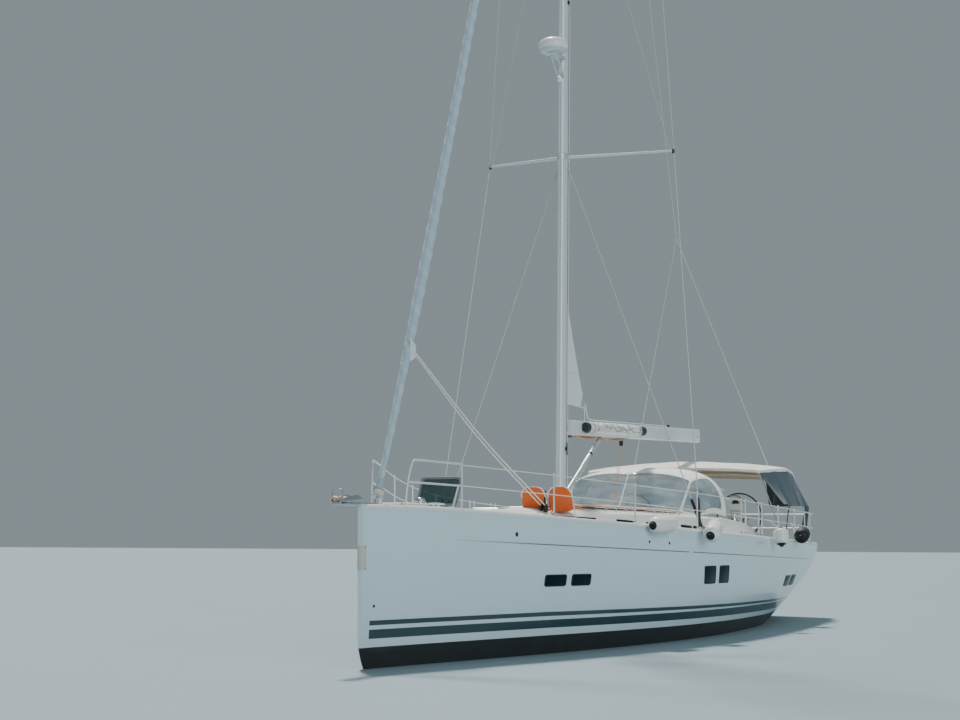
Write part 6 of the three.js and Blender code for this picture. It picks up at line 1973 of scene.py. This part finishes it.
def build_bimini():
    def top(u, v):
        share = (1 + HEM_SHARE) * (2 * u - 1)
        station = BIMINI_FORE + (BIMINI_BACK - BIMINI_FORE) * v
        spot = bimini_at(station, max(min(share, 1), -1))
        if abs(share) < 1:
            # Between its two tubes the cloth sags a little
            sag = 0.012 * math.sin(math.tau * min(max((station - 13.95) / 1.75, 0), 1)) ** 2
            crease = 0.004 * math.sin(share * 7 + station * 5) + 0.003 * math.sin(share * 19 - station * 11)
            spot.z -= sag + crease * (1 - abs(share) ** 6)
        else:
            spot.z -= HEM * (abs(share) - 1) / HEM_SHARE
        return spot
    cloth("bimini_top", top, 80, 40, CANVAS, "stretched", ["bimini_tubes"], thickness=0.005,
          stands_for=["bimini"], slot="canvas")

    def lining(u, v):
        return bimini_at(13.81 + 2.05 * v, -0.985 + 1.97 * u) + Vector((0, 0, -0.0185))
    cloth("bimini_lining", lining, 60, 30, AWNING_LINING, "stretched", ["bimini_tubes"], slot="canvas")

    def fore_band(u, v):
        spot = bimini_at(BIMINI_FORE, -1 + 2 * u)
        return spot + Vector((0.006 - 0.004 * v, 0, 0.002 - 0.045 * v + 0.003 * math.sin(u * 30) * v))
    cloth("bimini_fore_band", fore_band, 60, 4, CANVAS, "hung", ["bimini_top"], slot="canvas")

    def aft_band(u, v):
        spot = bimini_at(BIMINI_BACK, -0.99 + 1.98 * u)
        return spot + Vector((-0.006, 0, 0.002 - 0.06 * v + 0.004 * math.sin(u * 26) * v))
    cloth("bimini_aft_band", aft_band, 60, 4, CANVAS, "hung", ["bimini_top"], slot="canvas")

    frames = []
    for station, foot_station in ((13.95, 14.5), (15.7, 14.57)):
        half, edge = column(BIMINI, 1, station), column(BIMINI, 3, station)
        foot = Vector((aft(foot_station), 2.08, deck_z(foot_station, 2.08) - 0.002))
        leg = Vector((aft(foot_station + (station - foot_station) * 0.86), half * 0.985, edge - 0.2))
        port = [foot, leg] + [bimini_at(station, s) + Vector((0, 0, -TUBE_DROP))
                              for s in (0.96, 0.8, 0.45, 0)]
        stbd = [Vector((p.x, -p.y, p.z)) for p in port[-2::-1]]
        frames.append(tube(port + stbd, 0.014, 150, 12))
    settle(fuse(frames), "bimini_tubes", STEEL, stands_for=["bimini_bow_fore", "bimini_bow_aft"],
           slot="stainless")
    struts = []
    for side in (1, -1):
        high = bimini_at(14.9, side * 0.93) + Vector((0, 0, -0.04))
        struts.append(bar(Vector((aft(14.28), side * 1.93, 2.25)), high, 0.0105, sides=10))
        struts.append(spun([(0.03, -0.005), (0.03, 0.01), (0.018, 0.03)], on_deck(14.53, side * 2.08, 0),
                           sides=16))
    settle(fuse(struts), "bimini_struts", STEEL)


build_bimini()

# Curtain at the port quarter. Columns: station and breadth of its head, with breadth 0 where it follows the
# bimini's edge, then station, breadth and height of its foot
CURTAIN_ROWS = [
    (13.83, 0, 13.97, 2.19, 2.27), (14.38, 0, 14.41, 2.235, 2.265), (14.93, 0, 14.99, 2.265, 2.26),
    (15.43, 0, 15.49, 2.29, 2.255), (15.73, 0, 15.78, 2.29, 2.255), (15.86, 0, 15.89, 2.28, 2.255),
    (15.925, 0, 15.96, 2.25, 2.257), (15.93, 1.9, 15.985, 2.06, 2.27), (15.93, 1.4, 15.99, 1.45, 2.29),
]


def curtain_point(u, v):
    where = u * (len(CURTAIN_ROWS) - 1)
    k = min(int(where), len(CURTAIN_ROWS) - 2)
    t = where - k
    ends = []
    for head, breadth, foot_station, foot_y, foot_z in CURTAIN_ROWS[k:k + 2]:
        half, crown, edge = (column(BIMINI, c, min(head, BIMINI_BACK)) for c in (1, 2, 3))
        y = breadth or half + 0.004
        z = crown - (crown - edge) * (y / half) ** 2 - 0.004 if breadth else edge - HEM + 0.014
        ends.append((Vector((aft(head), y, z)), Vector((aft(foot_station), foot_y, foot_z))))
    head = ends[0][0].lerp(ends[1][0], t)
    foot = ends[0][1].lerp(ends[1][1], t)
    spot = head.lerp(foot, v)
    out = Vector((0, 1, 0)) if u < 0.75 else Vector((-0.7, 0.7, 0)) if u < 0.87 else Vector((-1, 0, 0))
    fold = (0.013 * math.sin(u * 46) + 0.008 * math.sin(u * 83 + 2)) * v
    belly = 0.045 * math.sin(math.pi * v) * (0.4 + 0.6 * math.sin(u * 9))
    return spot + out * (fold - belly * 0.4) + Vector((0, 0, 0.014 * math.sin(u * 31) * v))


def build_curtain():
    cloth("quarter_curtain", curtain_point, 120, 26, CURTAIN, "hung", ["bimini_top"], thickness=0.006,
          stands_for=["bimini_curtain"], slot="curtain")

    def trim(u, v):
        return curtain_point(0.0005 + 0.028 * u, v) + Vector((0.004, 0.008, 0))
    cloth("curtain_trim", trim, 6, 26, CURTAIN, "hung", ["quarter_curtain"], slot="canvas")

    def narrow(u, v):
        gather = 0.03 * math.sin(u * 30) * (0.6 + 0.4 * v)
        return Vector((aft(15.72 + 0.3 * u) + gather * 0.4, 2.265 - 0.12 * v * (1 - 0.3 * u) + gather,
                       2.262 - 0.62 * v))
    cloth("narrow_curtain", narrow, 50, 20, CURTAIN, "gathered", ["quarter_curtain"], thickness=0.004,
          slot="curtain")


build_curtain()

# Fenders. Columns: name, dark end, other end, station where the rope meets the lower guard wire, length
# of the dark part
FENDERS = [
    ("fender_1", (5.56, 2.05, 1.79), (6.26, 2.175, 1.83), 6.3, 0.018),
    ("fender_2", (7.08, 2.53, 1.64), (7.56, 2.49, 1.8), 7.6, 0.016),
    ("fender_3", (11.0, 2.79, 1.5), (11.08, 2.76, 1.78), 11.09, 0.014),
    ("fender_4", (12.9, 2.74, 1.64), (13.36, 2.7, 1.72), 13.2, 0.36),
]


# A fender's outline. Columns: share of its length, share of its radius
FENDER_SHAPE = [
    (0.0, 0.3), (0.035, 0.52), (0.07, 0.72), (0.13, 0.91), (0.2, 1.0), (0.5, 1.0), (0.8, 1.0), (0.87, 0.91),
    (0.93, 0.72), (0.965, 0.5), (1.0, 0.3),
]
FENDER_RADIUS = 0.134


def build_fenders():
    for name, start, end, station, dark in FENDERS:
        a, b = (Vector((aft(s), y, z)) for s, y, z in (start, end))
        along = (b - a).normalized()
        length = (b - a).length

        def radius(h):
            t = h / length
            k = next(k for k, row in enumerate(FENDER_SHAPE[1:]) if t <= row[0] + 1e-9)
            (t0, r0), (t1, r1) = FENDER_SHAPE[k:k + 2]
            return FENDER_RADIUS * (r0 + (r1 - r0) * (t - t0) / (t1 - t0))
        whole = spun([(radius(length * k / 40), length * k / 40) for k in range(41)], a, along, 36)
        sleeve_rows = [(radius(h) + 0.003, h - 0.002) for h in (dark * k / 12 for k in range(13))]
        cap = spun(sleeve_rows + [(radius(dark) - 0.004, dark)], a, along, 36)
        eyes = [spun([(0.034, -0.03), (0.04, -0.02), (0.04, 0.01)], a, along, 20),
                spun([(0.04, length - 0.012), (0.042, length + 0.004), (0.03, length + 0.02)], a, along, 20)]
        wire = wire_point(station, RAIL_MID)
        line = tube([b, (b + wire) / 2 + Vector((0, 0.012, -0.012)), wire + Vector((0, 0.011, 0))],
                    0.0055, 20, 8)
        hitch = [piping([wire + Vector((0.01 * side, 0.0115 * math.cos(t), 0.0115 * math.sin(t)))
                         for t in turns(12)], 0.005) for side in (-1, 0, 1)]
        settle(whole, name + "_body", FENDER_VINYL, stands_for=[name], slot="fender")
        settle(fuse([cap] + eyes), name + "_ends", RUBBER)
        settle(fuse([line] + hitch), name + "_rope", WHITE_ROPE)


build_fenders()


# Two folding deck chairs at the fore end of the coachroof, facing aft
CHAIR = {"station": 5.0, "half": 0.185, "breadths": (0.41, 0.83)}


def build_chairs():
    x, half = aft(CHAIR["station"]), CHAIR["half"]
    floor_z = roof_z(CHAIR["station"]) - 0.04
    lean = math.atan2(0.11, 0.335)
    for n, y in enumerate(CHAIR["breadths"], 1):
        back = stuffed(0.385, 0.378, 0.05, 0.13, pressure=9.0)
        # The back is made lying, wider at its foot and round at its top
        for vertex in back.data.vertices:
            if vertex.co.x < 0:
                vertex.co.y = max(min(vertex.co.y * (1 + 0.18 * -vertex.co.x / 0.19), 0.188), -0.188)
            else:
                vertex.co.y *= 1 - 0.3 * (vertex.co.x / 0.19) ** 2.5
        stand = (Matrix.Translation((x + 0.075, y, floor_z + 0.15)) @ Matrix.Rotation(lean, 4, "Y")
                 @ Matrix.Rotation(-math.pi / 2, 4, "Y"))
        placed(back, stand)
        seat = placed(stuffed(0.4, 0.378, 0.046, 0.05, pressure=9.0),
                      Matrix.Translation((x - 0.215, y, max(floor_z + 0.024, roof_z(5.2, y) + 0.026))))
        settle(back, f"chair_back_{n}", ORANGE, stands_for=[f"deck_chair_{n}"], slot="orange_cloth",
               smooth=60)
        settle(seat, f"chair_seat_{n}", ORANGE, slot="orange_cloth", smooth=60)
        tubes = []
        for edge in (y + half, y - half):
            path = [(x - 0.42, edge, roof_z(5.42, edge) + 0.01), (x - 0.2, edge, roof_z(5.2, edge) + 0.012)]
            path += [(x + ahead, edge, floor_z + rise)
                     for ahead, rise in ((0, 0.03), (0.06, 0.15), (0.11, 0.24))]
            tubes.append(tube(path, 0.009, 40, 8))
        arch = ((0.11, -half, 0.24), (0.12, -0.11, 0.322), (0.12, 0.11, 0.322), (0.11, half, 0.24))
        tubes.append(tube([(x + ahead, y + v, floor_z + rise) for ahead, v, rise in arch], 0.009, 30, 8))
        settle(fuse(tubes), f"chair_frame_{n}", WHITE_PLASTIC)


# Long cushions on the coachroof. Columns: node, fore and aft end, each a station and a breadth that is
# 0.15 inside the cushion's port side
CUSHIONS = [("roof_cushion_fore", (6.0, 0.64), (8.45, 0.96)),
            ("roof_cushion_aft", (8.5, 0.965), (10.18, 1.1))]
CUSHION_WIDE, CUSHION_THICK = 0.52, 0.085


def build_cushions():
    for name, (s0, y0), (s1, y1) in CUSHIONS:
        length, width, thick = s1 - s0, CUSHION_WIDE, CUSHION_THICK

        def laid(u, v, lift):
            """A point of the flat cushion, laid on the roof."""
            t = 0.5 - u / length
            station = s0 + (s1 - s0) * t
            y = y0 + (y1 - y0) * t + 0.15 - width / 2 + v
            return on_roof(station, y, lift + 0.002)
        pad = stuffed(length, width, thick, 0.05, pressure=3.0)
        for vertex in pad.data.vertices:
            vertex.co = laid(vertex.co.x, vertex.co.y, vertex.co.z + thick / 2)
        settle(pad, name + "_pad", TAN, stands_for=[name], slot="tan_cloth", smooth=60)
        outline = rounded_outline(length / 2 - 0.002, width / 2 - 0.002, 0.05, 6)
        welts = [piping([laid(u, v, lift) for u, v in outline], 0.005) for lift in (0.012, thick - 0.01)]
        settle(fuse(welts), name + "_welt", CANVAS)


build_chairs()
build_cushions()


# Below the water. Columns of the keel's section: share of its length, share of its half thickness
FOIL = [
    (0, 0), (0.015, 0.3), (0.06, 0.55), (0.12, 0.78), (0.2, 0.95), (0.3, 1.0), (0.4, 1), (0.55, 0.86),
    (0.7, 0.62), (0.85, 0.34), (1, 0.05),
]
KEEL_HEAD, KEEL_FOOT = -0.71, -2.33


def build_keel():
    def section(fore, back, half, z):
        side = [(fore + (back - fore) * t, half * w) for t, w in FOIL]
        return [(aft(s), w, z) for s, w in side] + [(aft(s), -w, z) for s, w in side[-2:0:-1]]
    rings = []
    for k in range(9):
        t = k / 8
        z = KEEL_HEAD + (KEEL_FOOT - KEEL_HEAD) * t
        rings.append(section(7.1 + 0.45 * t, 9.35 - 0.1 * t, 0.105 - 0.025 * t, z))
    settle(lofted(rings), "keel_blade", ANTIFOULING, stands_for=["keel_fin"], slot="keel", smooth=50)


build_keel()

# CAD nodes that are shown as they are. Columns: start of their names, finish
NODE_FINISHES = {"keel_bulb": ANTIFOULING, "rudder": ANTIFOULING, "saildrive_leg": ANTIFOULING,
                 "propeller": BRONZE, "shroud": WIRE, "backstay": WIRE}
for name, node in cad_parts.items():
    for start, finish in NODE_FINISHES.items():
        if name.startswith(start):
            node.data.materials.clear()
            node.data.materials.append(finish.material)
